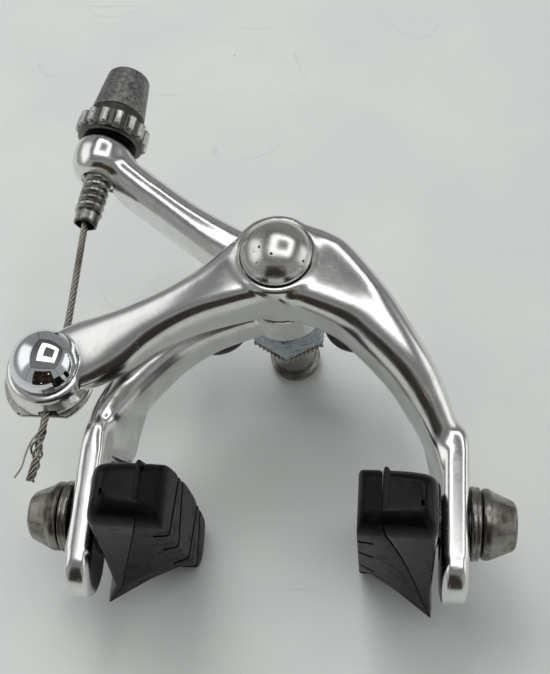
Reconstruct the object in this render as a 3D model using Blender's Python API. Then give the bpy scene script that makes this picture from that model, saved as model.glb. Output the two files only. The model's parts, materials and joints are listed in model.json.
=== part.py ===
"""Single-pivot side-pull rim brake caliper for a road bicycle.

Frame: the pivot bolt lies along Y. The origin is on its axis, in the plane where the caliper rests on the
bicycle frame. -Y is the front of the caliper, +Z points away from the wheel, +X is the right-hand arm.
Lengths are in millimetres here and are turned into metres when a mesh is made.
"""

import math

import bmesh
import bpy
from mathutils import Matrix, Vector

MM = 0.001
GAP = 0.3

# Pivot stack, as distances along Y from the mounting plane (negative is towards the front)
BOLT_R = 3.0
BOLT_FRONT_Y = -39.2
BOLT_END_Y = 17.1
BORE_R = 3.35
CAP_BASE_Y = -35.9
CAP_R = 7.2
CAP_RISE = 5.6
FRONT_HUB_Y = (-36.6, -24.5)
FRONT_HUB_R = 9.7
COUNTERBORE_R = 7.6
NUT_HEX_R = 5.7
LOCKNUT_Y = (-35.6, -33.6)
COUNTERBORE_Y = -32.2
REAR_HUB_Y = (-23.1, -13.0)
REAR_HUB_R = 9.0
SPRING_BLOCK_Y = (-11.8, -2.0)
BLOCK_HEX_R = 9.0
STAR_WASHER_T = 1.7
NUT_Y = (2.4, 18.6)
NUT_R = 5.1
NUT_FLANGE_R = 6.1

# Section of the arms: the share of the depth at which it is widest, and how square each half is
ARM_DEEPEST = 0.55
CROWN_POWER = 0.80
BACK_POWER = 0.42

# Brake blades and pads
BLADE_X = {-1: 35.8, 1: 36.3}
BLADE_HALF_T = 2.7
BLADE_Y = -16.6
BLADE_HALF_DEPTH = 6.7
BLADE_SPAN_Y = (BLADE_Y - BLADE_HALF_DEPTH, BLADE_Y + BLADE_HALF_DEPTH)
BLADE_END_Z = {-1: -59.0, 1: -56.2}
STUD_Y = -16.6
STUD_Z = {-1: -50.1, 1: -47.4}
STUD_R = 3.0
SLOT_R = 3.35
SLOT_TRAVEL = 4.0

# Inner face of each arm's knee: height, then how far out it is at the front and at the rear
KNEE_WEB = {
    -1: (
        (-19.0, 27.6, 26.6),
        (-23.0, 30.0, 27.6),
        (-27.3, 32.0, 28.5),
        (-32.0, 33.6, 29.2),
        (-36.3, 34.0, 29.9),
        (-39.6, 34.4, 33.0),
    ),
    1: (
        (-21.0, 28.0, 27.0),
        (-25.0, 30.2, 28.6),
        (-29.0, 32.2, 30.0),
        (-33.0, 33.8, 31.0),
        (-37.0, 34.4, 32.0),
        (-39.8, 34.8, 33.8),
    ),
}

PAD_WASHER_R = 7.2
PAD_WASHER_T = 1.8
PAD_NUT_R = 6.9
PAD_NUT_HEIGHT = 6.6
STUD_SPAN_X = (28.2, 46.6)
COLLAR_R = 5.4
PAD_LENGTH = 47.0
PAD_FACE_X = {-1: 16.4, 1: 18.0}
PAD_Z = {-1: -49.0, 1: -48.3}
PAD_TOP = 6.2
PAD_BOTTOM = -6.6
PAD_END_DROP = 1.7
PAD_SEAM = 4.4
PAD_CORNER_R = 5.0
PAD_THICKNESS = 14.3
FIN_DEPTH = 9.5
FIN_TIP_X = 32.8
FIN_TIP_Y = 11.5
PAD_SLOTS = ((-12.1, -1), (-5.5, 1), (9.6, -1), (16.2, 1))
PAD_SLOT_SLANT = 14.0
PAD_SLOT_T = 0.7

# Cable anchor on the front arm
ANCHOR_X = -46.4
ANCHOR_Z = -21.7
ANCHOR_FRONT_Y = -28.2
ANCHOR_BACK_Y = -23.1
ANCHOR_DOME_R = 7.0
ANCHOR_DOME_RISE = 5.6
ANCHOR_END_Y = -16.5
ANCHOR_BOSS_R = 9.2
ANCHOR_BOSS_OFFSET = (-0.1, -0.6)
ANCHOR_NUT_T = 3.6
CLAMP_PLATE_R = 9.5
CLAMP_PLATE_T = 1.2
CLAMP_PLATE_FLAT = -9.6
CLAMP_OFFSET = (-0.6, -1.5)
CABLE_R = 0.8
CABLE_Y = -24.15
CABLE_TOP_X = -44.4
CABLE_END_X = -46.0
CABLE_TOP_Z = 18.0
CABLE_END_Z = -46.0

# Cable adjuster on the rear arm
ADJUSTER_ORIGIN = Vector((-42.3, -24.0, 30.0))
ADJUSTER_LEAN = math.radians(7.0)
BARREL_R = 3.05
BARREL_BORE_R = 2.05
BARREL_SPAN = (-17.4, 20.0)
THREAD_END = -6.5
THREAD_PITCH = 1.75
THREAD_DEPTH = 0.35
WHEEL_RIBS = 15
WHEEL_SPAN = (3.7, 8.7)
WHEEL_R = (7.4, 8.3)
CUP_SPAN = (9.1, 22.4)
CUP_MOUTH_R = 2.6
SEAT_RING_R = 6.0
SEAT_RING_SPAN = (3.15, 3.45)

# Return spring: a wire with one coil on each side of the spring block
SPRING_WIRE_R = 1.1
SPRING_COIL_R = {-1: 6.9, 1: 6.0}
SPRING_COIL_CLEARANCE = 9.2
SPRING_TOP_Z = 5.1
SPRING_Y = (-4.6, -7.9)
SPRING_TURNS = 1.25
SPRING_STOP = (30.2, -20.3)

# Colour, metallic, roughness
FINISHES = {
    "polished_aluminium": ((0.80, 0.80, 0.79), 1.0, 0.22),
    "aged_aluminium": ((0.62, 0.62, 0.60), 1.0, 0.35),
    "chrome": ((0.85, 0.86, 0.88), 1.0, 0.06),
    "oxidised_steel": ((0.26, 0.25, 0.24), 1.0, 0.45),
    "zinc": ((0.52, 0.57, 0.60), 1.0, 0.40),
    "spring_steel": ((0.12, 0.12, 0.12), 1.0, 0.40),
    "cable_steel": ((0.50, 0.48, 0.45), 1.0, 0.38),
    "rubber": ((0.015, 0.015, 0.016), 0.0, 0.62),
    "moulded_plastic": ((0.02, 0.02, 0.02), 0.0, 0.45),
}

# Turns local Z to +Y, to X, to the adjuster's axis, and to -Y with local Y upright
ALONG_Y = Matrix.Rotation(-math.pi / 2, 4, "X")
ALONG_X = {side: Matrix.Rotation(side * math.pi / 2, 4, "Y") for side in (-1, 1)}
ALONG_LEAN = Matrix.Rotation(ADJUSTER_LEAN, 4, "Y")
UPRIGHT = Matrix.Rotation(math.pi / 2, 4, "X")


def clear_scene():
    for old in list(bpy.data.objects):
        bpy.data.objects.remove(old, do_unlink=True)


def finish_of(name):
    material = bpy.data.materials.get(name)
    if material is None:
        colour, metallic, roughness = FINISHES[name]
        material = bpy.data.materials.new(name)
        material.use_nodes = True
        shader = material.node_tree.nodes["Principled BSDF"]
        shader.inputs["Base Color"].default_value = (*colour, 1.0)
        shader.inputs["Metallic"].default_value = metallic
        shader.inputs["Roughness"].default_value = roughness
    return material


def start_of(parent):
    """Where an object's location is measured from. With no parent it is the rear end of the pivot bolt."""
    return Vector(parent["at"]) if parent else Vector((0, BOLT_END_Y, 0)) * MM


def pivot(name, position, parent=None):
    """An empty on a joint's axis. The pieces that move on that joint are its children."""
    empty = bpy.data.objects.new(name, None)
    empty.empty_display_size = 0.01
    bpy.context.scene.collection.objects.link(empty)
    empty["at"] = [c * MM for c in position]
    empty.location = Vector(empty["at"]) - start_of(parent)
    empty.parent = parent
    return empty


def add(name, bm, finish, parent, turn=Matrix(), at=(0, 0, 0)):
    """Makes the object from a mesh in millimetres, turned and then moved to its place."""
    bmesh.ops.remove_doubles(bm, verts=bm.verts, dist=1e-4)
    bmesh.ops.recalc_face_normals(bm, faces=bm.faces)
    mesh = bpy.data.meshes.new(name)
    bm.to_mesh(mesh)
    bm.free()
    mesh.transform(Matrix.Scale(MM, 4))
    mesh.materials.append(finish_of(finish))
    mesh.shade_smooth()
    mesh.set_sharp_from_angle(angle=math.radians(32))
    obj = bpy.data.objects.new(name, mesh)
    bpy.context.scene.collection.objects.link(obj)
    obj.parent = parent
    obj.location = Vector(at) * MM - start_of(parent)
    obj.rotation_euler = turn.to_euler()
    return obj


def helper(name, bm, turn=Matrix(), at=(0, 0, 0)):
    """A solid that only cuts or joins another."""
    obj = add(name, bm, "spring_steel", None, turn, at)
    obj.hide_render = True
    obj.display_type = "WIRE"
    return obj


def combine(obj, other, operation):
    modifier = obj.modifiers.new(other.name, "BOOLEAN")
    modifier.operation = operation
    modifier.object = other


def turned(profile, segments=32):
    """A round solid about local Z from (radius, height) points. It is a ring if no point is on the axis."""
    bm = bmesh.new()
    points = [bm.verts.new((r, 0, h)) for r, h in profile]
    pairs = list(zip(points, points[1:]))
    if profile[0][0] > 0:
        pairs.append((points[-1], points[0]))
    edges = [bm.edges.new(pair) for pair in pairs]
    bmesh.ops.spin(bm, geom=points + edges, axis=(0, 0, 1), angle=math.tau, steps=segments)
    return bm


def prism(outline, low, high):
    """An outline of (x, y) points drawn out along local Z."""
    bm = bmesh.new()
    base = bm.faces.new([bm.verts.new((x, y, low)) for x, y in outline])
    drawn = bmesh.ops.extrude_face_region(bm, geom=[base])
    moved = [v for v in drawn["geom"] if isinstance(v, bmesh.types.BMVert)]
    bmesh.ops.translate(bm, verts=moved, vec=(0, 0, high - low))
    return bm


def polygon(radius, sides, phase=0.0):
    angles = [phase + math.tau * i / sides for i in range(sides)]
    return [(radius * math.cos(a), radius * math.sin(a)) for a in angles]


def box(low, high):
    bm = bmesh.new()
    bmesh.ops.create_cube(bm, size=1)
    size = Vector(high) - Vector(low)
    bmesh.ops.scale(bm, vec=size, verts=bm.verts)
    bmesh.ops.translate(bm, vec=Vector(low) + size / 2, verts=bm.verts)
    return bm


def lofted(rings):
    """A solid skinned over rings that all hold the same number of points."""
    bm = bmesh.new()
    rows = [[bm.verts.new(point) for point in ring] for ring in rings]
    for row, after in zip(rows, rows[1:]):
        for i in range(len(row)):
            j = (i + 1) % len(row)
            bm.faces.new((row[i], row[j], after[j], after[i]))
    bm.faces.new(rows[0])
    bm.faces.new(rows[-1])
    return bm


def tube(path, radius, sides=8):
    """A round wire along a path, its section carried along without twist."""
    points = [Vector(p) for p in path]
    normal = None
    rings = []
    for i, point in enumerate(points):
        ahead = points[min(i + 1, len(points) - 1)] - points[max(i - 1, 0)]
        ahead.normalize()
        if normal is None:
            normal = ahead.orthogonal().normalized()
        normal = (normal - ahead * normal.dot(ahead)).normalized()
        across = ahead.cross(normal)
        angles = [math.tau * k / sides for k in range(sides)]
        rings.append([point + (normal * math.cos(a) + across * math.sin(a)) * radius for a in angles])
    return lofted(rings)


def curve_at(t, a, b, c, d):
    """The Catmull-Rom curve from b (t = 0) to c (t = 1)."""
    bend = (2 * a - 5 * b + 4 * c - d) * t**2 + (3 * b - a - 3 * c + d) * t**3
    return 0.5 * (2 * b + (c - a) * t + bend)


def spline(rows, steps):
    """A Catmull-Rom curve through rows of numbers, with the same number of steps between each two rows."""
    padded = [rows[0], *rows, rows[-1]]
    out = []
    for i in range(len(rows) - 1):
        before, start, end, after = padded[i : i + 4]
        for k in range(steps):
            t = k / steps
            out.append(tuple(curve_at(t, *four) for four in zip(before, start, end, after)))
    out.append(tuple(rows[-1]))
    return out


def arm_section(x, z, nx, nz, half_width, front, back, sides=16):
    """A ring round an arm: crowned towards the front, with a flatter back. (nx, nz) points across the arm."""
    ring = []
    middle = front + ARM_DEEPEST * (back - front)
    for k in range(sides):
        angle = math.tau * (k + 0.5) / sides
        c, s = math.cos(angle), math.sin(angle)
        power = CROWN_POWER if s < 0 else BACK_POWER
        across = half_width * math.copysign(abs(c) ** power, c)
        depth = math.copysign(abs(s) ** power, s)
        y = middle + depth * (middle - front if s < 0 else back - middle)
        ring.append((x + nx * across, y, z + nz * across))
    return ring


def arm(rows):
    """An arm lofted through rows of (x, z, half width, front y, back y)."""
    rings = []
    for i, (x, z, half_width, front, back) in enumerate(rows):
        ahead, behind = rows[min(i + 1, len(rows) - 1)], rows[max(i - 1, 0)]
        dx, dz = ahead[0] - behind[0], ahead[1] - behind[1]
        length = math.hypot(dx, dz)
        rings.append(arm_section(x, z, -dz / length, dx / length, half_width, front, back))
    return lofted(rings)


def blade_rows(side):
    """The straight lower end of an arm, which closes in a half round."""
    end = BLADE_END_Z[side]
    x = side * BLADE_X[side]
    rows = [(x, end, BLADE_HALF_T, *BLADE_SPAN_Y)]
    for degrees, thickness in ((25, 1.0), (50, 1.0), (70, 0.9), (84, 0.7)):
        reach = BLADE_HALF_DEPTH * math.cos(math.radians(degrees))
        z = end - BLADE_HALF_DEPTH * math.sin(math.radians(degrees))
        rows.append((x, z, BLADE_HALF_T * thickness, BLADE_Y - reach, BLADE_Y + reach))
    return rows


def cut_stud_slot(obj, side):
    outline = [(SLOT_R * math.cos(a), SLOT_TRAVEL + SLOT_R * math.sin(a)) for a in half_turn(0)]
    outline += [(SLOT_R * math.cos(a), -SLOT_TRAVEL + SLOT_R * math.sin(a)) for a in half_turn(math.pi)]
    across = Matrix(((0, 0, 1, 0), (1, 0, 0, 0), (0, 1, 0, 0), (0, 0, 0, 1)))
    at = (side * BLADE_X[side], STUD_Y, STUD_Z[side])
    combine(obj, helper(obj.name + "_slot", prism(outline, -8, 8), across, at), "DIFFERENCE")


def half_turn(start, steps=8):
    return [start + math.pi * k / steps for k in range(steps + 1)]


def cable_path():
    """Straight down from the adjuster, aslant through the anchor bolt, then straight down again."""
    return [
        (CABLE_TOP_X, CABLE_Y, CABLE_TOP_Z),
        (CABLE_TOP_X, CABLE_Y, ANCHOR_Z + 11.5),
        (CABLE_TOP_X - 0.15, CABLE_Y, ANCHOR_Z + 9.5),
        (CABLE_END_X + 0.15, CABLE_Y, ANCHOR_Z - 9.5),
        (CABLE_END_X, CABLE_Y, ANCHOR_Z - 11.5),
        (CABLE_END_X, CABLE_Y, CABLE_END_Z),
    ]


def cable_groove():
    """A groove in the back of the anchor boss, flared so that the arm can swing about the clamped cable."""
    middle = (CABLE_TOP_X + CABLE_END_X) / 2
    lean = (CABLE_TOP_X - CABLE_END_X) / 2
    half, swing, reach = 1.15, 1.9, 13.0
    outline = [
        (middle - half, 0),
        (middle + lean - half - swing, reach),
        (middle + lean + half, reach),
        (middle + half, 0),
        (middle - lean + half + swing, -reach),
        (middle - lean - half, -reach),
    ]
    return prism(outline, -ANCHOR_BACK_Y - 3, half - CABLE_Y)


def front_arm(parent):
    stations = [
        (ANCHOR_X - 2.3, ANCHOR_Z - 1.1, 6.0, -28.0, -23.3),
        (-40.5, -19.2, 7.2, -29.0, -23.2),
        (-33.8, -16.6, 6.7, -30.6, -23.4),
        (-26.5, -12.8, 5.3, -32.6, -23.9),
        (-18.8, -9.2, 5.0, -34.6, -24.3),
        (-11.0, -5.4, 6.0, -35.6, -24.5),
        (0.0, -0.5, 8.6, -36.0, -24.5),
        (9.2, -3.0, 8.3, -35.8, -24.3),
        (16.5, -7.6, 6.8, -34.9, -22.8),
        (21.4, -12.4, 5.9, -33.3, -20.6),
        (26.4, -18.0, 5.0, -30.9, -17.6),
        (29.9, -22.9, 4.5, -28.3, -14.6),
        (33.0, -28.6, 3.7, -25.8, -12.0),
        (34.9, -34.0, 3.0, -24.2, -10.6),
        (BLADE_X[1], -41.0, BLADE_HALF_T, *BLADE_SPAN_Y),
    ]
    obj = add("front_arm", arm(spline(stations, 2) + blade_rows(1)), "polished_aluminium", parent)
    front, back = FRONT_HUB_Y
    hub = [(0, front), (8.4, front), (9.1, front + 0.9), (9.6, front + 3)]
    hub += [(FRONT_HUB_R, back - 0.8), (FRONT_HUB_R - 0.5, back), (0, back)]
    combine(obj, helper("front_hub", turned(hub), ALONG_Y), "UNION")
    front, back = ANCHOR_FRONT_Y, ANCHOR_BACK_Y
    radius = ANCHOR_BOSS_R
    boss = [(0, front), (radius - 2, front), (radius - 0.8, front + 1)]
    boss += [(radius, back - 0.7), (radius - 0.4, back), (0, back)]
    at = (ANCHOR_X + ANCHOR_BOSS_OFFSET[0], 0, ANCHOR_Z + ANCHOR_BOSS_OFFSET[1])
    combine(obj, helper("anchor_boss", turned(boss), ALONG_Y, at), "UNION")
    front, back = FRONT_HUB_Y[0] - 5, FRONT_HUB_Y[1] + 5
    wide = COUNTERBORE_R
    bore = [(0, front), (wide, front), (wide, COUNTERBORE_Y)]
    bore += [(BORE_R, COUNTERBORE_Y), (BORE_R, back), (0, back)]
    combine(obj, helper("front_bore", turned(bore, 24), ALONG_Y), "DIFFERENCE")
    front, seat, back = ANCHOR_FRONT_Y - 15, ANCHOR_FRONT_Y, ANCHOR_BACK_Y + 9
    wide = ANCHOR_DOME_R + GAP
    bore = [(0, front), (wide, front), (wide, seat), (BORE_R, seat), (BORE_R, back), (0, back)]
    combine(obj, helper("anchor_bore", turned(bore, 28), ALONG_Y, (ANCHOR_X, 0, ANCHOR_Z)), "DIFFERENCE")
    combine(obj, helper("cable_groove", cable_groove(), UPRIGHT, (0, 0, ANCHOR_Z)), "DIFFERENCE")
    combine(obj, helper("right_knee_web", knee_web(1)), "UNION")
    add_spring_stop(obj, 1, -17.5)
    cut_stud_slot(obj, 1)


def rear_arm(parent):
    """Two lofts that meet at the hub: up to the adjuster boss and down to the left-hand blade."""
    hub_front, hub_back = REAR_HUB_Y
    upper = [
        (ADJUSTER_ORIGIN.x + 0.8, ADJUSTER_ORIGIN.z - 1.8, 4.4, -29.0, -18.7),
        (-37.0, 25.7, 4.8, -28.0, -17.0),
        (-31.0, 21.6, 4.5, -26.3, -15.6),
        (-24.0, 17.0, 4.5, -24.6, -14.2),
        (-17.0, 12.8, 4.9, -23.4, -13.2),
        (-9.0, 8.0, 5.4, hub_front, hub_back),
        (0.0, 1.0, 6.5, hub_front, hub_back),
    ]
    lower = [
        (1.0, 0.0, 6.5, hub_front, hub_back),
        (-8.0, -4.0, 5.6, hub_front, hub_back),
        (-16.0, -8.4, 4.8, hub_front, hub_back),
        (-22.8, -13.2, 4.6, hub_front, -12.0),
        (-28.0, -18.6, 4.6, hub_front - 0.1, -11.0),
        (-31.9, -24.0, 4.3, hub_front - 0.1, -10.3),
        (-35.3, -29.4, 3.7, hub_front - 0.2, -10.0),
        (-36.5, -35.4, 3.0, hub_front - 0.2, -9.9),
        (-36.0, -42.0, BLADE_HALF_T, *BLADE_SPAN_Y),
        (-BLADE_X[-1], -49.0, BLADE_HALF_T, *BLADE_SPAN_Y),
    ]
    obj = add("rear_arm", arm(spline(lower, 2) + blade_rows(-1)), "polished_aluminium", parent)
    combine(obj, helper("rear_arm_upper", arm(spline(upper, 2))), "UNION")
    radius = REAR_HUB_R
    hub = [
        (0, hub_front),
        (radius - 0.5, hub_front),
        (radius, hub_front + 0.5),
        (radius, hub_back - 0.5),
        (radius - 0.5, hub_back),
        (0, hub_back),
    ]
    combine(obj, helper("rear_hub", turned(hub), ALONG_Y), "UNION")
    boss = [(0, 2.9), (5.6, 2.9), (6.5, 2.0), (7.0, -0.2), (6.8, -3.0), (5.8, -5.3), (4.5, -6.2), (0, -6.2)]
    combine(obj, helper("adjuster_boss", turned(boss), ALONG_LEAN, ADJUSTER_ORIGIN), "UNION")
    bore = prism(polygon(BORE_R, 24), -60, 60)
    combine(obj, helper("rear_bore", bore, ALONG_Y), "DIFFERENCE")
    barrel_hole = prism(polygon(BARREL_R + GAP, 24), -20, 20)
    combine(obj, helper("barrel_hole", barrel_hole, ALONG_LEAN, ADJUSTER_ORIGIN), "DIFFERENCE")
    combine(obj, helper("left_knee_web", knee_web(-1)), "UNION")
    add_spring_stop(obj, -1, -14.5)
    cut_stud_slot(obj, -1)


def knee_web(side):
    """The flat inner face of an arm's knee. It slants inwards from the blade's front edge to the rear."""
    rings = []
    front, back = BLADE_SPAN_Y[0] + 1.2, BLADE_SPAN_Y[1] - 0.4
    for z, front_x, rear_x in KNEE_WEB[side]:
        inside = front_x + 2.0
        ring = [(front_x, front), (rear_x, back - 0.8), (rear_x + 0.5, back)]
        ring += [(inside, back), (inside, front + 1)]
        rings.append([(side * x, y, z) for x, y in ring])
    return lofted(rings)


def add_spring_stop(obj, side, front):
    """A round lug cast on the back of an arm, which a leg of the spring pushes on."""
    x, z = SPRING_STOP
    back = SPRING_Y[1] + SPRING_WIRE_R + 0.4
    profile = [(0, front), (1.5, front), (1.5, back - 0.4), (1.1, back), (0, back)]
    combine(obj, helper(obj.name + "_stop", turned(profile, 12), ALONG_Y, (side * x, 0, z)), "UNION")


def pivot_stack(parent):
    head = BOLT_FRONT_Y
    bolt = [(0, head), (BOLT_R - 0.4, head), (BOLT_R, head + 0.4)]
    bolt += [(BOLT_R, BOLT_END_Y), (0, BOLT_END_Y)]
    add("center_bolt", turned(bolt, 24), "zinc", parent, ALONG_Y)

    rise = [math.radians(a) for a in (0, 14, 30, 46, 62, 76)]
    edge = 0.7
    dome = [(0, CAP_BASE_Y - CAP_RISE)]
    for a in reversed(rise):
        dome.append((CAP_R * math.cos(a), CAP_BASE_Y - edge - (CAP_RISE - edge) * math.sin(a)))
    hollow = BOLT_FRONT_Y - 0.4
    dome += [(CAP_R, CAP_BASE_Y), (BORE_R, CAP_BASE_Y), (BORE_R, hollow), (0, hollow)]
    add("pivot_cap", turned(dome), "aged_aluminium", parent, ALONG_Y)

    locknut = add("pivot_locknut", prism(polygon(NUT_HEX_R, 6), *LOCKNUT_Y), "zinc", parent, ALONG_Y)
    bore = prism(polygon(BORE_R, 24), -60, 60)
    combine(locknut, helper("locknut_bore", bore, ALONG_Y), "DIFFERENCE")

    washers = {
        "front_pivot_washer": (6.9, LOCKNUT_Y[1] + GAP, COUNTERBORE_Y - GAP),
        "middle_pivot_washer": (7.6, FRONT_HUB_Y[1] + GAP, REAR_HUB_Y[0] - GAP),
        "rear_pivot_washer": (8.2, REAR_HUB_Y[1] + GAP, SPRING_BLOCK_Y[0] - GAP),
    }
    for name, (radius, front, back) in washers.items():
        ring = [(BORE_R, front), (radius, front), (radius, back), (BORE_R, back)]
        finish = "moulded_plastic" if "middle" in name else "zinc"
        add(name, turned(ring), finish, parent, ALONG_Y)

    bore = helper("block_bore", prism(polygon(BORE_R, 24), -60, 60), ALONG_Y)
    hexagon = polygon(BLOCK_HEX_R, 6, math.pi / 2)
    block = add("spring_block", prism(hexagon, *SPRING_BLOCK_Y), "zinc", parent, ALONG_Y)
    combine(block, bore, "DIFFERENCE")
    wire_hole = prism(polygon(SPRING_WIRE_R + GAP, 12), -20, 20)
    at = (0, SPRING_Y[0], SPRING_TOP_Z)
    combine(block, helper("wire_hole", wire_hole, ALONG_X[1], at), "DIFFERENCE")
    star = add("star_washer", prism(star_outline(), -STAR_WASHER_T, 0), "zinc", parent, ALONG_Y)
    combine(star, bore, "DIFFERENCE")

    front, back = NUT_Y
    inner = BOLT_R + GAP
    nut = [
        (inner, front),
        (NUT_R - 0.4, front),
        (NUT_R, front + 0.4),
        (NUT_R, back - 2.4),
        (NUT_FLANGE_R, back - 2.0),
        (NUT_FLANGE_R, back - 0.4),
        (NUT_FLANGE_R - 0.4, back),
        (inner, back),
    ]
    add("mounting_nut", turned(nut), "oxidised_steel", parent, ALONG_Y)


def star_outline(teeth=24):
    """A hexagon that matches the spring block, with teeth all round its edge."""
    outline = []
    for k in range(2 * teeth):
        angle = math.tau * k / (2 * teeth)
        from_flat = (angle + math.radians(30)) % math.radians(60) - math.radians(30)
        radius = BLOCK_HEX_R * math.cos(math.radians(30)) / math.cos(from_flat)
        radius += 0.3 if k % 2 else -0.35
        outline.append((radius * math.cos(angle), radius * math.sin(angle)))
    return outline


def spring_half(side):
    """The wire of one side, drawn on the right: out of the block, round the coil and down to the stop."""
    across, down = SPRING_Y
    radius = SPRING_COIL_R[side]
    middle = SPRING_COIL_CLEARANCE + radius
    steps = round(18 * SPRING_TURNS)
    half = [(5.0, across, SPRING_TOP_Z)]
    for k in range(steps + 1):
        turn = math.tau * SPRING_TURNS * k / steps
        x = middle + radius * math.sin(turn)
        z = SPRING_TOP_Z - radius + radius * math.cos(turn)
        half.append((x, across + (down - across) * k / steps, z))
    x, z = SPRING_STOP
    half += [(middle + radius + 0.3, down, -5.0), (x - 2.9, down, z + 1.8), (x - 2.8, down, z + 0.2)]
    return half


def return_spring(parent):
    """One wire: through the block, round a coil on each side, and down behind each arm."""
    left = [(-x, y, z) for x, y, z in reversed(spring_half(-1))]
    add("return_spring", tube(left + spring_half(1), SPRING_WIRE_R, 6), "spring_steel", parent)


def cable_anchor(parent):
    """The bolt that pinches the cable against the back of the front arm."""
    at = (ANCHOR_X, 0, ANCHOR_Z)
    front = ANCHOR_FRONT_Y - GAP
    rise = [math.radians(a) for a in (4, 18, 32, 46, 60, 75)]
    end = ANCHOR_END_Y
    dome = [(0, front - ANCHOR_DOME_RISE)]
    for a in reversed(rise):
        dome.append((ANCHOR_DOME_R * math.cos(a), front - ANCHOR_DOME_RISE * math.sin(a)))
    dome += [(ANCHOR_DOME_R - 0.3, front), (BOLT_R, front)]
    dome += [(BOLT_R, end - 0.4), (BOLT_R - 0.4, end), (0, end)]
    bolt = add("anchor_bolt", turned(dome), "chrome", parent, ALONG_Y, at)
    aslant = Matrix.Rotation(math.atan2(CABLE_TOP_X - CABLE_END_X, 19.0), 4, "Y")
    middle = ((CABLE_TOP_X + CABLE_END_X) / 2, CABLE_Y, ANCHOR_Z)
    hole = prism(polygon(CABLE_R + GAP, 12), -6, 6)
    combine(bolt, helper("cross_hole", hole, aslant, middle), "DIFFERENCE")

    front = ANCHOR_BACK_Y + GAP
    inner = BOLT_R + GAP
    bore = helper("anchor_nut_bore", prism(polygon(inner, 24), -60, 60), ALONG_Y, at)
    across, up = CLAMP_OFFSET
    outline = [(across + x, max(up + z, CLAMP_PLATE_FLAT)) for x, z in polygon(CLAMP_PLATE_R, 32)]
    plate = prism(outline, -front - CLAMP_PLATE_T, -front)
    plate = add("clamp_plate", plate, "oxidised_steel", parent, UPRIGHT, at)
    combine(plate, bore, "DIFFERENCE")
    front += CLAMP_PLATE_T + GAP
    nut = prism(polygon(NUT_HEX_R, 6), front, front + ANCHOR_NUT_T)
    nut = add("anchor_nut", nut, "oxidised_steel", parent, ALONG_Y, at)
    combine(nut, bore, "DIFFERENCE")
    add("brake_cable", tube(cable_path(), CABLE_R), "cable_steel", parent)


def adjuster_wheel(parent):
    """The ribbed nut on top of the boss."""
    low, high = WHEEL_SPAN
    groove, crest = WHEEL_R
    outline = []
    for k in range(WHEEL_RIBS):
        for share, radius in ((0.0, groove), (0.42, groove), (0.54, crest), (0.88, crest)):
            angle = math.tau * (k + share) / WHEEL_RIBS
            outline.append((radius * math.cos(angle), radius * math.sin(angle)))
    wheel = prism(outline, low + 1.3, high)
    wheel = add("adjuster_wheel", wheel, "oxidised_steel", parent, ALONG_LEAN, ADJUSTER_ORIGIN)
    rim, top = crest - 0.2, low + 1.8
    band = turned([(0, low), (rim - 0.8, low), (rim, low + 0.8), (rim, top), (0, top)], 30)
    combine(wheel, helper("wheel_band", band, ALONG_LEAN, ADJUSTER_ORIGIN), "UNION")
    bore = prism(polygon(BARREL_R + GAP, 24), -20, 20)
    combine(wheel, helper("wheel_bore", bore, ALONG_LEAN, ADJUSTER_ORIGIN), "DIFFERENCE")


def adjuster_barrel(parent):
    """The threaded tube that the cable runs through, and the cup on top for the end of its housing."""
    bottom, top = BARREL_SPAN
    root = BARREL_R - THREAD_DEPTH
    profile = [(BARREL_BORE_R, top), (BARREL_R, top), (BARREL_R, THREAD_END)]
    height = THREAD_END
    while height > bottom + 3.2:
        profile += [(root, height - 0.25 * THREAD_PITCH), (BARREL_R, height - 0.75 * THREAD_PITCH)]
        height -= THREAD_PITCH
    profile += [(root, bottom + 2.1), (root + 0.15, bottom + 1.8), (root - 0.1, bottom)]
    profile.append((BARREL_BORE_R, bottom))
    add("adjuster_barrel", turned(profile, 20), "oxidised_steel", parent, ALONG_LEAN, ADJUSTER_ORIGIN)
    base, tip = CUP_SPAN
    cup = [
        (BARREL_R + GAP, base),
        (5.8, base),
        (6.0, base + 1.6),
        (4.9, tip - 0.6),
        (4.4, tip),
        (CUP_MOUTH_R, tip),
        (CUP_MOUTH_R, top + GAP),
        (BARREL_R + GAP, top + GAP),
    ]
    add("housing_stop", turned(cup), "oxidised_steel", parent, ALONG_LEAN, ADJUSTER_ORIGIN)


def boss_ring(parent):
    """The rubber ring between the boss and the wheel."""
    inner = BARREL_R + GAP
    low, high = SEAT_RING_SPAN
    ring = [(inner, low), (SEAT_RING_R, low), (SEAT_RING_R, high), (inner, high)]
    add("wheel_seat_ring", turned(ring, 24), "rubber", parent, ALONG_LEAN, ADJUSTER_ORIGIN)


def pad_fastening(parent, side, prefix):
    """The nut and washer outside the blade."""
    at = (0, STUD_Y, STUD_Z[side])
    face = BLADE_X[side] + BLADE_HALF_T + GAP
    inner = STUD_R + GAP
    outer, thick = PAD_WASHER_R, PAD_WASHER_T
    washer = [(inner, face), (outer - 0.4, face), (outer, face + 0.4)]
    washer += [(outer, face + thick - 0.4), (outer - 0.4, face + thick), (inner, face + thick)]
    add(prefix + "_washer", turned(washer, 28), "oxidised_steel", parent, ALONG_X[side], at)
    face += thick + GAP
    outer, high = PAD_NUT_R, PAD_NUT_HEIGHT
    nut = [(inner, face), (outer - 0.3, face), (outer, face + 0.6), (outer - 0.1, face + 1.8)]
    nut += [(outer - 2.1, face + high - 0.4), (outer - 2.7, face + high), (inner, face + high)]
    add(prefix + "_nut", turned(nut, 24), "oxidised_steel", parent, ALONG_X[side], at)


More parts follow.
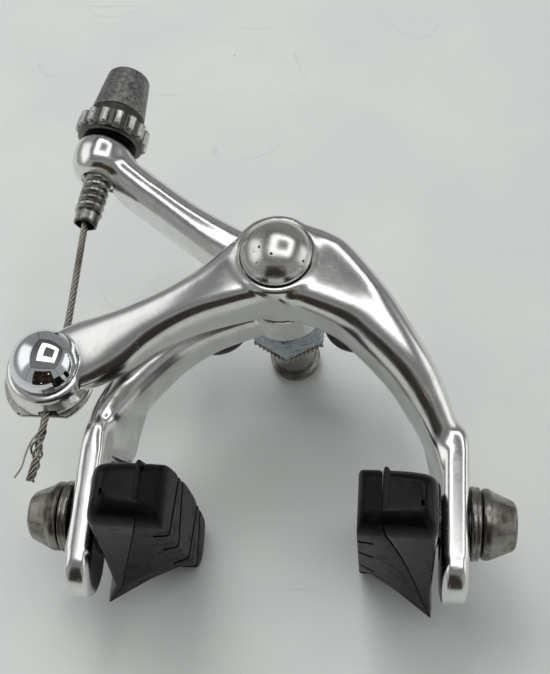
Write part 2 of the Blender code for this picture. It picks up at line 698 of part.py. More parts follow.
def pad_rows():
    """For each section of a pad: y from its middle, then its end rounding, fin depth and seam position."""
    rows = []
    half = PAD_LENGTH / 2
    ahead_of_tip = (-half, -22.3, -18.5, -14, -10, -6, -2, 2, 6.4, 9)
    for y in (*ahead_of_tip, FIN_TIP_Y, 12.1, 12.8, 13.6, 14.5, 16.2, 18.5, 20.4, 22.3, half):
        along = (y + half) / (FIN_TIP_Y + half)
        past_tip = (y - FIN_TIP_Y) / (half - FIN_TIP_Y)
        into_end = max(0.0, 1 - (half - abs(y)) / PAD_CORNER_R)
        rounding = 1 - math.sqrt(1 - into_end**2)
        if past_tip <= 0:
            rows.append((y, rounding, along**1.2, along))
        else:
            rows.append((y, rounding, (1 - past_tip) ** 3, (1 - past_tip) ** 0.5))
    return rows


def underside(share, fin):
    """Height of a pad's slightly hollow underside, at a share of the way from its face to its back."""
    return PAD_BOTTOM - FIN_DEPTH * fin * (share - 0.25 * share * (1 - share))


def pad_ring(side, section, y):
    return [(side * u, STUD_Y + y, PAD_Z[side] + w) for u, w in section]


def pad_outer(side, y, rounding):
    """Distance of a holder's back from the middle plane. The fin's tip stands out behind the blade."""
    back = PAD_FACE_X[side] + PAD_THICKNESS
    share = max(0.0, 1 - abs(y - FIN_TIP_Y) / 5.0)
    return back + (FIN_TIP_X - back) * share - 3.4 * rounding


def holder_rows(side, seam):
    rings = []
    for y, rounding, fin, progress in pad_rows():
        outer = pad_outer(side, y, rounding)
        top = PAD_TOP - PAD_END_DROP * (2 * y / PAD_LENGTH) ** 2 - 0.3 * rounding
        lowest = underside(1, fin)
        split = seam + (outer - seam) * progress
        share = (split - PAD_FACE_X[side]) / (outer - PAD_FACE_X[side])
        rest = 1 - progress
        section = [
            (seam, top),
            (outer - 1.8, top),
            (outer - 0.5, top - 0.5),
            (outer, top - 1.8),
            (outer, lowest + 1.9),
            (outer - 0.9 * rest - 0.1, lowest + 0.6 + 0.6 * progress),
            (split - 0.2 * progress, underside(share, fin) + 0.3 + 0.7 * progress),
            (seam, PAD_BOTTOM + 1.1),
        ]
        rings.append(pad_ring(side, section, y))
    return rings


def block_rows(side, under):
    """Sections of the friction block. Its lower edge runs out along the fin to the tip."""
    face = PAD_FACE_X[side]
    rings = []
    for y, rounding, fin, progress in pad_rows():
        outer = pad_outer(side, y, rounding)
        top = PAD_TOP - PAD_END_DROP * (2 * y / PAD_LENGTH) ** 2 - 0.2 * rounding
        split = under + (outer - under) * progress
        share = (split - face) / (outer - face)
        section = [
            (face, top - 0.1),
            (under, top),
            (under, PAD_BOTTOM + 0.4),
            (split, underside(share, fin)),
            ((face + split) / 2, underside(share / 2, fin)),
            (face, PAD_BOTTOM),
        ]
        rings.append(pad_ring(side, section, y))
    return rings


def brake_pad(parent, side, prefix):
    """The stud, the holder it is fixed to, and the friction block with its rim guide."""
    at = (0, STUD_Y, STUD_Z[side])
    inner, outer = STUD_SPAN_X
    stud = [(0, inner), (STUD_R, inner), (STUD_R, outer - 0.4), (STUD_R - 0.5, outer), (0, outer)]
    add(prefix + "_stud", turned(stud, 20), "zinc", parent, ALONG_X[side], at)

    seam = PAD_FACE_X[side] + PAD_SEAM
    holder = add(prefix + "_holder", lofted(holder_rows(side, seam)), "moulded_plastic", parent)
    back = BLADE_X[side] - BLADE_HALF_T - GAP
    collar = turned([(0, back - 4), (COLLAR_R, back - 4), (COLLAR_R - 0.4, back), (0, back)], 24)
    combine(holder, helper(prefix + "_collar", collar, ALONG_X[side], at), "UNION")
    hole = prism(polygon(STUD_R + GAP, 20), 27.8, 60)
    combine(holder, helper(prefix + "_stud_hole", hole, ALONG_X[side], at), "DIFFERENCE")

    block = add(prefix + "_block", lofted(block_rows(side, seam - 1.6 * GAP)), "rubber", parent)
    for k, (y, way) in enumerate(PAD_SLOTS):
        slot = box((-2.5, -PAD_SLOT_T / 2, -9), (2.5, PAD_SLOT_T / 2, 9))
        slant = Matrix.Rotation(math.radians(way * PAD_SLOT_SLANT), 4, "X")
        at = (side * PAD_FACE_X[side], STUD_Y + y, PAD_Z[side])
        combine(block, helper(f"{prefix}_slot_{k}", slot, slant, at), "DIFFERENCE")


def build():
    clear_scene()
    mount = pivot("mount", (0, 0, 0))
    front = pivot("front_arm_pivot", (0, 0, 0), mount)
    rear = pivot("rear_arm_pivot", (0, 0, 0), mount)
    anchor = pivot("anchor_swivel", (ANCHOR_X, ANCHOR_BACK_Y, ANCHOR_Z), front)
    wheel = pivot("wheel_turn", ADJUSTER_ORIGIN, rear)
    barrel = pivot("barrel_slide", ADJUSTER_ORIGIN, rear)
    pivot_stack(mount)
    return_spring(mount)
    front_arm(front)
    rear_arm(rear)
    cable_anchor(anchor)
    adjuster_wheel(wheel)
    adjuster_barrel(barrel)
    boss_ring(rear)
    for side, arm_pivot, prefix in ((-1, rear, "left_pad"), (1, front, "right_pad")):
        at = (side * BLADE_X[side], STUD_Y, STUD_Z[side])
        slide = pivot(prefix + "_slide", at, arm_pivot)
        turn = pivot(prefix + "_turn", at, slide)
        pad_fastening(slide, side, prefix)
        brake_pad(turn, side, prefix)


build()
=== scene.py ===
"""Looks of the rim brake caliper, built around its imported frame.

The frame is in metres. Shapes here are in millimetres, in the same axes, from the point where the pivot's
axis meets its seat on the bicycle. Y runs along the pivot bolt (negative is the front), Z points away from the
wheel and X towards the right-hand arm.
"""

import json
import math

import bmesh
import bpy
import numpy as np
from mathutils import Matrix, Vector


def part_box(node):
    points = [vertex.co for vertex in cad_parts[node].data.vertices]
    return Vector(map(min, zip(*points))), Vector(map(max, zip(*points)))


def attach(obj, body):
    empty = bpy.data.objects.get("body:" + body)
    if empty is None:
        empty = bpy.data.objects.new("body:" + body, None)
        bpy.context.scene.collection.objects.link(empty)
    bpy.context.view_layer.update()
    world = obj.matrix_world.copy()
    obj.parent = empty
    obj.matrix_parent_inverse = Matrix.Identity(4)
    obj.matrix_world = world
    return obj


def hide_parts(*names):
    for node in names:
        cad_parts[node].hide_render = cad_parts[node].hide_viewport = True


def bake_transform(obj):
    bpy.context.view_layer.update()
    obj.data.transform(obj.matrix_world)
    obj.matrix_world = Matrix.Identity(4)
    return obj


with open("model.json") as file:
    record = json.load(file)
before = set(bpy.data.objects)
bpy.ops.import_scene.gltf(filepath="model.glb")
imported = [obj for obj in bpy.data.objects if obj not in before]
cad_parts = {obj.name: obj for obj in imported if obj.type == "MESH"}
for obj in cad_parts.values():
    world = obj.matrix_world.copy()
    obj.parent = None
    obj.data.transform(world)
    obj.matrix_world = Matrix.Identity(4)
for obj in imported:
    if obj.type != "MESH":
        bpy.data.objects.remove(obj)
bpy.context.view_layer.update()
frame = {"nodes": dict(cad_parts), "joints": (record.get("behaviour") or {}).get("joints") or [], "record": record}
MM = 0.001

X, Y, Z = np.eye(3)
ORIGIN = (0, 0, 0)
JOINTS = {joint["name"]: joint for joint in frame["joints"]}
MOUNTS = {mount["name"]: mount for mount in frame["record"]["mounts"]}
GROUPS = frame["record"]["behaviour"]["bodies"]
BODY_OF = {node: body for body, nodes in GROUPS.items() for node in nodes}
SEAT = np.array(MOUNTS["frame_face"]["pos_m"]) / MM * Y


def joint_point(name):
    return np.array(JOINTS[name]["pos_m"]) / MM - SEAT


def lowest(node):
    return np.array(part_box(node)[0]) / MM - SEAT


def highest(node):
    return np.array(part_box(node)[1]) / MM - SEAT


def span(node, axis=1):
    """Where a CAD piece starts and ends along one axis, which is the pivot's unless another is given."""
    return lowest(node)[axis], highest(node)[axis]


def from_seat(point):
    """A point's place in the frame, in metres."""
    return Vector(np.asarray(point) + SEAT) * MM


PIVOT = np.zeros(3)
ANCHOR = joint_point("anchor_swivel") * (X + Z)
ADJUSTER = joint_point("wheel_turn")
LEAN = np.array(JOINTS["wheel_turn"]["axis"])
SIDES = {-1: "left_pad", 1: "right_pad"}
STUD = {side: joint_point(prefix + "_turn") for side, prefix in SIDES.items()}

BOLT_R = 3.0
BOLT_CORE_R = 2.55
SNUG_R = 3.3
CLEAR_R = 3.35

BLADE_HALF_T = 2.7
BLADE_HALF_DEPTH = 6.7
BLADE_Y = STUD[1][1]
BLADE_FRONT = BLADE_Y - BLADE_HALF_DEPTH
BLADE_BACK = BLADE_Y + BLADE_HALF_DEPTH
BLADE_END_Z = {
    -1: lowest("rear_arm")[2] + BLADE_HALF_DEPTH,
    1: lowest("front_arm")[2] + BLADE_HALF_DEPTH,
}

WIRE_R = 1.1
WIRE_Y, WIRE_Z = -4.6, 5.1
LEG_Y = -7.9
STOP_X, STOP_Z = 30.2, -20.3


# ---------------------------------------------------------------- mesh tools


def unit(v):
    return np.asarray(v, float) / np.linalg.norm(v)


def turn_angles(count, phase=0.0):
    return [phase + math.tau * k / count for k in range(count)]


def skin(grid, closed=False):
    """A mesh over rings of points. Open ends are capped, unless the rows close on themselves."""
    bm = bmesh.new()
    rows = [[bm.verts.new(p) for p in ring] for ring in grid]
    pairs = list(zip(rows, rows[1:]))
    if closed:
        pairs.append((rows[-1], rows[0]))
    for row, after in pairs:
        for i in range(len(row)):
            j = (i + 1) % len(row)
            bm.faces.new((row[i], row[j], after[j], after[i]))
    if not closed:
        for ring in (rows[0], rows[-1]):
            if (Vector(ring[0].co) - Vector(ring[len(ring) // 2].co)).length > 1e-6:
                bm.faces.new(ring)
    bmesh.ops.remove_doubles(bm, verts=bm.verts, dist=1e-5)
    bmesh.ops.recalc_face_normals(bm, faces=bm.faces)
    return bm


def rounded(profile, radius, steps=4):
    """The same outline with each inner corner turned into a small curve."""
    points = [np.array(p, float) for p in profile]
    out = [points[0]]
    for before, corner, after in zip(points, points[1:], points[2:]):
        to_before, to_after = before - corner, after - corner
        reach = min(radius, 0.45 * np.linalg.norm(to_before), 0.45 * np.linalg.norm(to_after))
        start = corner + unit(to_before) * reach
        end = corner + unit(to_after) * reach
        for k in range(steps + 1):
            t = k / steps
            out.append((1 - t) ** 2 * start + 2 * t * (1 - t) * corner + t**2 * end)
    out.append(points[-1])
    return out


def square_to(axis):
    """Two directions at right angles to an axis and to each other."""
    across = unit(np.cross(axis, X if abs(axis[0]) < 0.9 else Y))
    return across, np.cross(axis, across)


def circle(centre, across, other, radius, angles):
    return [centre + (across * math.cos(a) + other * math.sin(a)) * radius for a in angles]


def lathe(profile, origin, axis, segments=96, radius_at=None):
    """A turned mesh from (radius, height) points. radius_at(radius, height, angle) may shape it further."""
    axis = unit(axis)
    across, other = square_to(axis)
    grid = []
    for radius, height in profile:
        ring = []
        for angle in turn_angles(segments):
            r = radius_at(radius, height, angle) if radius_at else radius
            ring += circle(origin + axis * height, across, other, r, [angle])
        grid.append(ring)
    return skin(grid, closed=profile[0][0] > 1e-6 and profile[-1][0] > 1e-6)


def drill(radius, low, high, at=PIVOT, axis=Y, segments=48):
    """A round cutter from low to high along an axis."""
    return lathe([(0, low), (radius, low), (radius, high), (0, high)], at, axis, segments)


def tube(path, radius, sides=12):
    """A round wire along a path."""
    points = [np.array(p, float) for p in path]
    normal = None
    grid = []
    for i, point in enumerate(points):
        ahead = unit(points[min(i + 1, len(points) - 1)] - points[max(i - 1, 0)])
        if normal is None:
            normal = square_to(ahead)[0]
        normal = unit(normal - ahead * normal.dot(ahead))
        grid.append(circle(point, normal, np.cross(ahead, normal), radius, turn_angles(sides)))
    return skin(grid)


def prism(outline, low, high, chamfer=0.0):
    """An (x, z) outline drawn out along Y, with chamfered rims."""
    centre = np.mean(outline, axis=0)
    grid = []
    for y, inset in ((low, chamfer), (low + chamfer, 0), (high - chamfer, 0), (high, chamfer)):
        ring = []
        for x, z in outline:
            out = np.array((x, z)) - centre
            x, z = centre + out * (1 - inset / np.linalg.norm(out))
            ring.append((x, y, z))
        grid.append(ring)
    return skin(grid)


def polygon(radius, sides, phase=0.0, at=(0.0, 0.0)):
    return [(at[0] + radius * math.cos(a), at[1] + radius * math.sin(a)) for a in turn_angles(sides, phase)]


def spline(rows, steps):
    """A Catmull-Rom curve through rows of numbers."""
    rows = [np.array(row, float) for row in rows]
    padded = [rows[0], *rows, rows[-1]]
    out = []
    for a, b, c, d in zip(padded, padded[1:], padded[2:], padded[3:]):
        for k in range(steps):
            t = k / steps
            bend = (2 * a - 5 * b + 4 * c - d) * t**2 + (3 * b - a - 3 * c + d) * t**3
            out.append(0.5 * (2 * b + (c - a) * t + bend))
    out.append(rows[-1])
    return out


def smoothstep(low, high, value):
    t = np.clip((value - low) / (high - low), 0, 1)
    return t * t * (3 - 2 * t)


def flank(radius, low, high, rows):
    """Profile points along a straight flank, close enough together to carry relief."""
    return [(radius, low + (high - low) * k / rows) for k in range(rows + 1)]


def thread(core, crest, pitch, low, high):
    """A radius function for a screw thread from low to high."""

    def radius_at(radius, height, angle):
        if radius < core - 0.5 or not low < height < high:
            return radius
        wave = abs(((height / pitch - angle / math.tau) % 1.0) * 2 - 1)
        return core + (crest - core) * float(smoothstep(0.15, 0.75, wave))

    return radius_at


def bolt(head, low, end, at, axis=Y, segments=48):
    """A bolt: the profile of its head, then a thread from low to a chamfered end."""
    pitch, high = 1.0, end - 0.5
    profile = head + flank(BOLT_R, low, high, round((high - low) / pitch * 10))
    profile += [(2.5, end - 0.2), (2.1, end), (0, end)]
    return lathe(profile, at, axis, segments, thread(BOLT_CORE_R, BOLT_R, pitch, low, high))


def dome(radius, base, rise, edge=0.0, steps=18):
    """Profile of a domed head, from its crown at -Y to its rim."""
    angles = [math.radians(90 - 86 * k / steps) for k in range(steps + 1)]
    return [(radius * math.cos(a), base - edge - (rise - edge) * math.sin(a)) for a in angles]


def joined(name, meshes):
    """One object, in millimetres, of several closed meshes that overlap."""
    mesh = bpy.data.meshes.new(name)
    whole = bmesh.new()
    for bm in meshes:
        part = bpy.data.meshes.new("part")
        bm.to_mesh(part)
        bm.free()
        whole.from_mesh(part)
        bpy.data.meshes.remove(part)
    whole.to_mesh(mesh)
    whole.free()
    obj = bpy.data.objects.new(name, mesh)
    bpy.context.scene.collection.objects.link(obj)
    return obj


def applied(obj):
    """The object's mesh with its modifiers applied."""
    graph = bpy.context.evaluated_depsgraph_get()
    graph.update()
    mesh = bpy.data.meshes.new_from_object(obj.evaluated_get(graph))
    obj.modifiers.clear()
    obj.data = mesh
    return obj


def remeshed(obj, voxel):
    modifier = obj.modifiers.new("one_skin", "REMESH")
    modifier.mode = "VOXEL"
    modifier.voxel_size = voxel
    return applied(obj)


def neighbour_mean(points, a, b):
    """The mean of each point's neighbours, over the edges from a to b."""
    count = len(points)
    degree = np.maximum(np.bincount(np.concatenate((a, b)), minlength=count), 1)
    totals = [np.bincount(a, points[b, k], count) + np.bincount(b, points[a, k], count) for k in range(3)]
    return np.stack(totals, axis=1) / degree[:, None]


def relaxed(obj, rounds, weight_of, steps=(0.5, -0.51)):
    """Evens out the surface. weight_of(points) is the share of each step that a point takes."""
    mesh = obj.data
    points = np.empty(len(mesh.vertices) * 3, np.float32)
    mesh.vertices.foreach_get("co", points)
    points = points.reshape(-1, 3).astype(float)
    edges = np.empty(len(mesh.edges) * 2, np.int32)
    mesh.edges.foreach_get("vertices", edges)
    a, b = edges.reshape(-1, 2).T
    weight = weight_of(points)[:, None]
    for _ in range(rounds):
        for step in steps:
            points += step * weight * (neighbour_mean(points, a, b) - points)
    mesh.vertices.foreach_set("co", points.astype(np.float32).ravel())
    mesh.update()
    return obj


def carved(obj, cutters):
    """Cuts closed meshes out of the object, each with a crisp edge."""
    tools = []
    for k, bm in enumerate(cutters):
        tool = joined(f"cutter_{k}", [bm])
        modifier = obj.modifiers.new(tool.name, "BOOLEAN")
        modifier.operation = "DIFFERENCE"
        modifier.object = tool
        tools.append(tool)
    applied(obj)
    for tool in tools:
        bpy.data.objects.remove(tool, do_unlink=True)
    return obj


def place(name, shape, material, node, sharp=35, rides=True):
    """Turns a shape in millimetres into a finished piece. It stands for a CAD piece and rides on its body."""
    if isinstance(shape, bmesh.types.BMesh):
        shape = joined(name, [shape])
    mesh = shape.data
    shape.name = mesh.name = name
    mesh.transform(Matrix.Scale(MM, 4))
    mesh.shade_smooth()
    mesh.set_sharp_from_angle(angle=math.radians(sharp))
    mesh.materials.clear()
    mesh.materials.append(material)
    shape.location = from_seat(ORIGIN)
    if rides:
        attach(shape, BODY_OF[node])
    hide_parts(node)
    return shape


def retouch(node, material):
    """Gives a CAD piece whose shape is already right its finished material."""
    obj = frame["nodes"][node]
    obj.data.materials.clear()
    obj.data.materials.append(material)


# ---------------------------------------------------------------- materials


class Nodes:
    """Shader nodes, written as a chain of calls."""

    def __init__(self, tree):
        self.tree = tree

    def node(self, kind, inputs=None, **settings):
        node = self.tree.nodes.new(kind)
        for key, value in settings.items():
            setattr(node, key, value)
        for key, value in (inputs or {}).items():
            self.put(node.inputs[key], value)
        return node

    def put(self, socket, value):
        if isinstance(value, bpy.types.NodeSocket):
            self.tree.links.new(value, socket)
        elif isinstance(value, np.ndarray):
            socket.default_value = value.tolist()
        elif isinstance(value, tuple) and len(value) == 3 and socket.type == "RGBA":
            socket.default_value = (*value, 1.0)
        else:
            socket.default_value = value

    def vector(self, operation, a, b=ORIGIN):
        """A vector, or a number where the operation gives one."""
        node = self.node("ShaderNodeVectorMath", {0: a, 1: b}, operation=operation)
        return node.outputs["Value" if operation in ("DOT_PRODUCT", "LENGTH", "DISTANCE") else "Vector"]

    def math(self, operation, a, b=0.0):
        return self.node("ShaderNodeMath", {0: a, 1: b}, operation=operation).outputs[0]

    def times(self, *values):
        product = values[0]
        for value in values[1:]:
            product = self.math("MULTIPLY", product, value)
        return product

    def most(self, *values):
        largest = values[0]
        for value in values[1:]:
            largest = self.math("MAXIMUM", largest, value)
        return largest

    def sum(self, *values):
        total = values[0]
        for value in values[1:]:
            total = self.math("ADD", total, value)
        return total

    def ramp(self, value, low, high, start=0.0, end=1.0):
        """Runs smoothly from start at low to end at high."""
        inputs = {"Value": value, "From Min": low, "From Max": high, "To Min": start, "To Max": end}
        return self.node("ShaderNodeMapRange", inputs, interpolation_type="SMOOTHSTEP").outputs[0]


class Shading(Nodes):
    """A surface material. Lengths in it are in millimetres."""

    def __init__(self, name):
        self.material = bpy.data.materials.new(name)
        self.material.use_nodes = True
        super().__init__(self.material.node_tree)
        self.shader = self.tree.nodes["Principled BSDF"]
        place_of = self.node("ShaderNodeTexCoord").outputs["Object"]
        inputs = {0: place_of, "Scale": 1 / MM}
        self.point = self.node("ShaderNodeVectorMath", inputs, operation="SCALE").outputs[0]
        self.height = None

    def stretched(self, scale, turn=ORIGIN):
        """The point after a turn and a stretch, for marks that run in one direction."""
        inputs = {"Vector": self.point, "Rotation": turn, "Scale": scale}
        return self.node("ShaderNodeMapping", inputs).outputs[0]

    def noise(self, per_mm, detail=3.0, rough=0.6, point=None):
        inputs = {"Vector": point or self.point, "Scale": per_mm, "Detail": detail, "Roughness": rough}
        return self.node("ShaderNodeTexNoise", inputs).outputs["Fac"]

    def clouds(self, per_mm, low, high, detail=3.0, rough=0.6, point=None):
        """Soft patches: noise whose values from low to high run from none to full."""
        return self.ramp(self.noise(per_mm, detail, rough, point), low, high)

    def dots(self, per_mm, small, large):
        """Scattered round dots."""
        inputs = {"Vector": self.point, "Scale": per_mm}
        distance = self.node("ShaderNodeTexVoronoi", inputs).outputs["Distance"]
        return self.ramp(distance, small, large, 1.0, 0.0)

    def along(self, point, axis):
        """Distance along an axis from a point on it, and the way from that point."""
        offset = self.vector("SUBTRACT", self.point, point)
        return self.vector("DOT_PRODUCT", offset, axis), offset

    def away(self, point, axis):
        """Distance from an axis."""
        height, offset = self.along(point, axis)
        length = self.vector("LENGTH", offset)
        square = self.math("SUBTRACT", self.times(length, length), self.times(height, height))
        return self.math("SQRT", self.most(square, 0.0))

    def mix(self, share, a, b):
        inputs = {0: share, 6: a, 7: b}
        return self.node("ShaderNodeMix", inputs, data_type="RGBA").outputs[2]

    def raised(self, value, height_mm):
        """Adds value times height to the surface relief."""
        term = self.times(value, height_mm * MM)
        self.height = term if self.height is None else self.sum(self.height, term)

    def done(self, colour, metallic, roughness, **more):
        more.update(Base_Color=colour, Metallic=metallic, Roughness=roughness)
        for key, value in more.items():
            self.put(self.shader.inputs[key.replace("_", " ")], value)
        if self.height is not None:
            inputs = {"Height": self.height, "Distance": 1.0, "Strength": 1.0}
            self.put(self.shader.inputs["Normal"], self.node("ShaderNodeBump", inputs).outputs[0])
        return self.material


SCRATCH_WAYS = (((0.3, 0.2, 0.5), (0.25, 9.0, 9.0)), ((1.2, 0.7, -0.4), (0.3, 7.0, 7.0)))
PIT_DARKNESS = 0.12
# Colour of the painted shade in the grooves of the adjuster's wheel and barrel.
GROOVE_SHADE_COLOUR = (0.085, 0.080, 0.070)


def worn_metal(name, colour, stain, roughness, mottle, pits, scratches, pit_share, groove_shade=None):
    """Bare or plated metal: cloudy stains, fine crossing scratches, and small dark pits.

    The last argument, if given, holds the radii of the grooves and of the crests of a piece on the adjuster's
    axis: from the crests in to the grooves the colour is painted darker, as painted shade in the grooves.
    """
    s = Shading(name)
    clouds = s.clouds(0.22, 0.42, 0.72, 5.0)
    grain = s.noise(4.0, 4.0)
    shade = s.mix(s.times(clouds, mottle), colour, stain)
    ways = [s.stretched(stretch, turn) for turn, stretch in SCRATCH_WAYS]
    streaks = [s.clouds(1.0, 0.62, 0.70, 2.0, 0.5, way) for way in ways]
    lines = s.times(s.most(*streaks), s.clouds(0.12, 0.45, 0.6, 2.0))
    s.raised(lines, -0.004 * scratches)
    s.raised(grain, 0.0004)
    spots = s.times(s.dots(0.55, pit_share * 0.5, pit_share), s.clouds(0.15, 0.5, 0.56, 2.0))
    s.raised(spots, -0.06)
    shade = s.mix(s.times(spots, min(1.0, pits * 4)), shade, tuple(c * PIT_DARKNESS for c in stain))
    # Painted shade: darker towards the grooves and lighter on the crests of a piece on the adjuster's axis.
    if groove_shade:
        shade = s.mix(s.ramp(s.away(ADJUSTER, LEAN), *groove_shade, 0.9, 0.0), shade, GROOVE_SHADE_COLOUR)
    rough = s.ramp(grain, 0.3, 0.7, roughness * 0.85, roughness * 1.15)
    for value, gain in ((clouds, 0.1 * mottle), (lines, 0.12 * scratches), (spots, 0.3)):
        rough = s.sum(rough, s.times(value, gain))
    return s.done(shade, 1.0, rough)


def cast_zinc():
    """The housing stop: dull grey casting skin, finely mottled, with painted shade at its foot where it stands in
    the wheel.
    """
    s = Shading("cast_zinc")
    speckle = s.noise(1.1, 7.0, 0.78)
    stain = s.noise(0.35, 3.0)
    shade = s.mix(s.ramp(speckle, 0.34, 0.66), (0.095, 0.095, 0.092), (0.34, 0.34, 0.33))
    shade = s.mix(s.ramp(stain, 0.5, 0.75, 0.0, 0.5), shade, (0.10, 0.098, 0.09))
    # Painted shade: the stop's foot, down where it stands in the wheel, is painted darker.
    foot = s.ramp(s.along(ADJUSTER, LEAN)[0], 11.3, 11.55, 0.88, 0.0)
    shade = s.mix(foot, shade, (0.035, 0.034, 0.028))
    s.raised(speckle, 0.02)
    return s.done(shade, 0.85, s.ramp(speckle, 0.3, 0.7, 0.52, 0.40))


def dull_zinc():
    """Zinc plate that has gone dull: bluish, with whitish flowers of oxide and scuffed edges."""
    s = Shading("zinc")
    flowers = s.clouds(0.8, 0.44, 0.62, 6.0, 0.7)
    scuff = s.clouds(1.0, 0.56, 0.64, 3.0, 0.5, s.stretched((0.5, 3.0, 1.0), (0.2, 0.4, 0.1)))
    shade = s.mix(flowers, (0.36, 0.42, 0.47), (0.62, 0.66, 0.68))
    shade = s.mix(scuff, shade, (0.10, 0.11, 0.12))
    s.raised(flowers, 0.012)
    s.raised(scuff, -0.02)
    return s.done(shade, 0.75, s.ramp(flowers, 0.0, 1.0, 0.32, 0.55))


def brake_rubber():
    """Brake block: matt black with dusty grey scuffs on its wearing side, and a fine moulded grain."""
    s = Shading("rubber")
    dust = s.clouds(0.35, 0.45, 0.75, 5.0, 0.65)
    rubs = s.clouds(1.0, 0.52, 0.72, 4.0, 0.6, s.stretched((0.3, 2.2, 1.2), (0.5, 0.2, 0.3)))
    grit = s.noise(5.0, 3.0)
    shade = s.mix(s.times(dust, 0.75), (0.002, 0.002, 0.002), (0.007, 0.0068, 0.0065))
    shade = s.mix(s.times(rubs, 0.4), shade, (0.018, 0.017, 0.016))
    s.raised(grit, 0.012)
    s.raised(rubs, -0.01)
    return s.done(shade, 0.0, s.ramp(dust, 0.0, 1.0, 0.40, 0.60), Specular_IOR_Level=0.12)


def black_moulding():
    """Pad holder: smooth black moulding, a little greyer where it is rubbed."""
    s = Shading("moulded_plastic")
    haze = s.clouds(0.25, 0.45, 0.75, 4.0)
    rubs = s.clouds(1.0, 0.56, 0.70, 3.0, 0.6, s.stretched((2.4, 2.4, 0.35), (0.1, 0.2, 0.6)))
    shade = s.mix(s.times(haze, 0.8), (0.0015, 0.0015, 0.0016), (0.004, 0.004, 0.0043))
    shade = s.mix(s.times(rubs, 0.3), shade, (0.015, 0.014, 0.014))
    s.raised(s.noise(3.0, 3.0), 0.008)
    return s.done(shade, 0.0, s.ramp(haze, 0.0, 1.0, 0.26, 0.40), Specular_IOR_Level=0.2)


def metals():
    """Each metal's colour, its stain, and then roughness, mottle, pits, scratches and the pits' size, and for the
    wheel and barrel the radii of their painted groove shade.
    """
    rows = {
        "polished_aluminium": ((0.79, 0.79, 0.78), (0.56, 0.54, 0.50), 0.19, 0.4, 0.5, 0.35, 0.07),
        "aged_aluminium": ((0.68, 0.68, 0.66), (0.42, 0.41, 0.38), 0.22, 0.6, 1.0, 0.6, 0.2),
        "chrome": ((0.80, 0.82, 0.85), (0.55, 0.57, 0.60), 0.035, 0.1, 0.3, 0.15, 0.05),
        "oxidised_steel": ((0.30, 0.285, 0.26), (0.075, 0.064, 0.052), 0.28, 0.95, 0.5, 0.8, 0.16),
        "spring_steel": ((0.13, 0.13, 0.13), (0.05, 0.045, 0.04), 0.36, 0.8, 0.5, 0.6, 0.1),
        "cable_steel": ((0.38, 0.36, 0.32), (0.18, 0.155, 0.125), 0.30, 0.7, 0.3, 0.4, 0.06),
        # On the next two rows the last pair gives the radii over which the grooves get painted shade.
        "wheel_metal": ((0.62, 0.62, 0.60), (0.22, 0.21, 0.19), 0.28, 0.8, 0.5, 1.0, 0.12, (7.35, 8.15)),
        "thread_metal": ((0.50, 0.49, 0.46), (0.16, 0.15, 0.13), 0.28, 0.8, 0.5, 0.6, 0.1, (2.58, 2.72)),
    }
    return [worn_metal(name, *row) for name, row in rows.items()]


POLISHED, AGED, CHROME, OXIDISED, SPRING_STEEL, CABLE_STEEL, WHEEL_METAL, THREAD_METAL = metals()
CAST_ZINC = cast_zinc()
ZINC = dull_zinc()
RUBBER = brake_rubber()
MOULDING = black_moulding()


# ---------------------------------------------------------------- the two arms

OVAL_FRONT, OVAL_BACK, SQUARE = 0.80, 0.42, 0.22


def arm_grid(rows, sides=56):
    """Rings of an arm through rows of (x, z, half width, front y, back y, squareness of the front)."""
    grid = []
    for i, (x, z, half, front, back, square) in enumerate(rows):
        ahead, behind = rows[min(i + 1, len(rows) - 1)], rows[max(i - 1, 0)]
        dx, dz = unit((ahead[0] - behind[0], ahead[1] - behind[1]))
        deep = front + 0.55 * (back - front)
        front_power = OVAL_FRONT + (SQUARE - OVAL_FRONT) * square
        back_power = OVAL_BACK + (SQUARE - OVAL_BACK) * square
        ring = []
        for k in range(sides):
            angle = math.tau * (k + 0.5) / sides
            c, s = math.cos(angle), math.sin(angle)
            power = front_power if s < 0 else back_power
            across = half * math.copysign(abs(c) ** power, c)
            depth = math.copysign(abs(s) ** power, s)
            y = deep + depth * (deep - front if s < 0 else back - deep)
            ring.append((x - dz * across, y, z + dx * across))
        grid.append(ring)
    return grid


def blade_rows(side):
    """The straight end of an arm, which closes in a half round."""
    x = STUD[side][0]
    end = BLADE_END_Z[side]
    rows = [(x, end, BLADE_HALF_T, BLADE_FRONT, BLADE_BACK, 0.5)]
    for degrees in range(6, 90, 6):
        round_end = math.cos(math.radians(degrees))
        reach = BLADE_HALF_DEPTH * round_end
        z = end - BLADE_HALF_DEPTH * math.sin(math.radians(degrees))
        half = BLADE_HALF_T * (0.55 + 0.45 * math.sqrt(round_end))
        rows.append((x, z, half, BLADE_Y - reach, BLADE_Y + reach, 0.5))
    return rows


def blade_slab(side, top):
    """The blade's front half, which stands a little proud of the arm and ends at the top like a fingertip."""
    x = STUD[side][0]
    front = BLADE_FRONT - 0.1
    rows = []
    for degrees in range(84, 0, -12):
        share = math.cos(math.radians(degrees))
        z = top - 1.5 * BLADE_HALF_T * (1 - math.sin(math.radians(degrees)))
        lift = front + 3.0 * (1 - share) ** 1.3
        rows.append((x, z, BLADE_HALF_T * (0.2 + 0.8 * share), lift, BLADE_Y, 0.2 + 0.4 * share))
    rows.append((x, top - 8, BLADE_HALF_T, front, BLADE_Y, 0.5))
    rows.append((x, BLADE_END_Z[side] + 1, BLADE_HALF_T, front + 0.1, BLADE_Y, 0.45))
    return skin(arm_grid(rows))


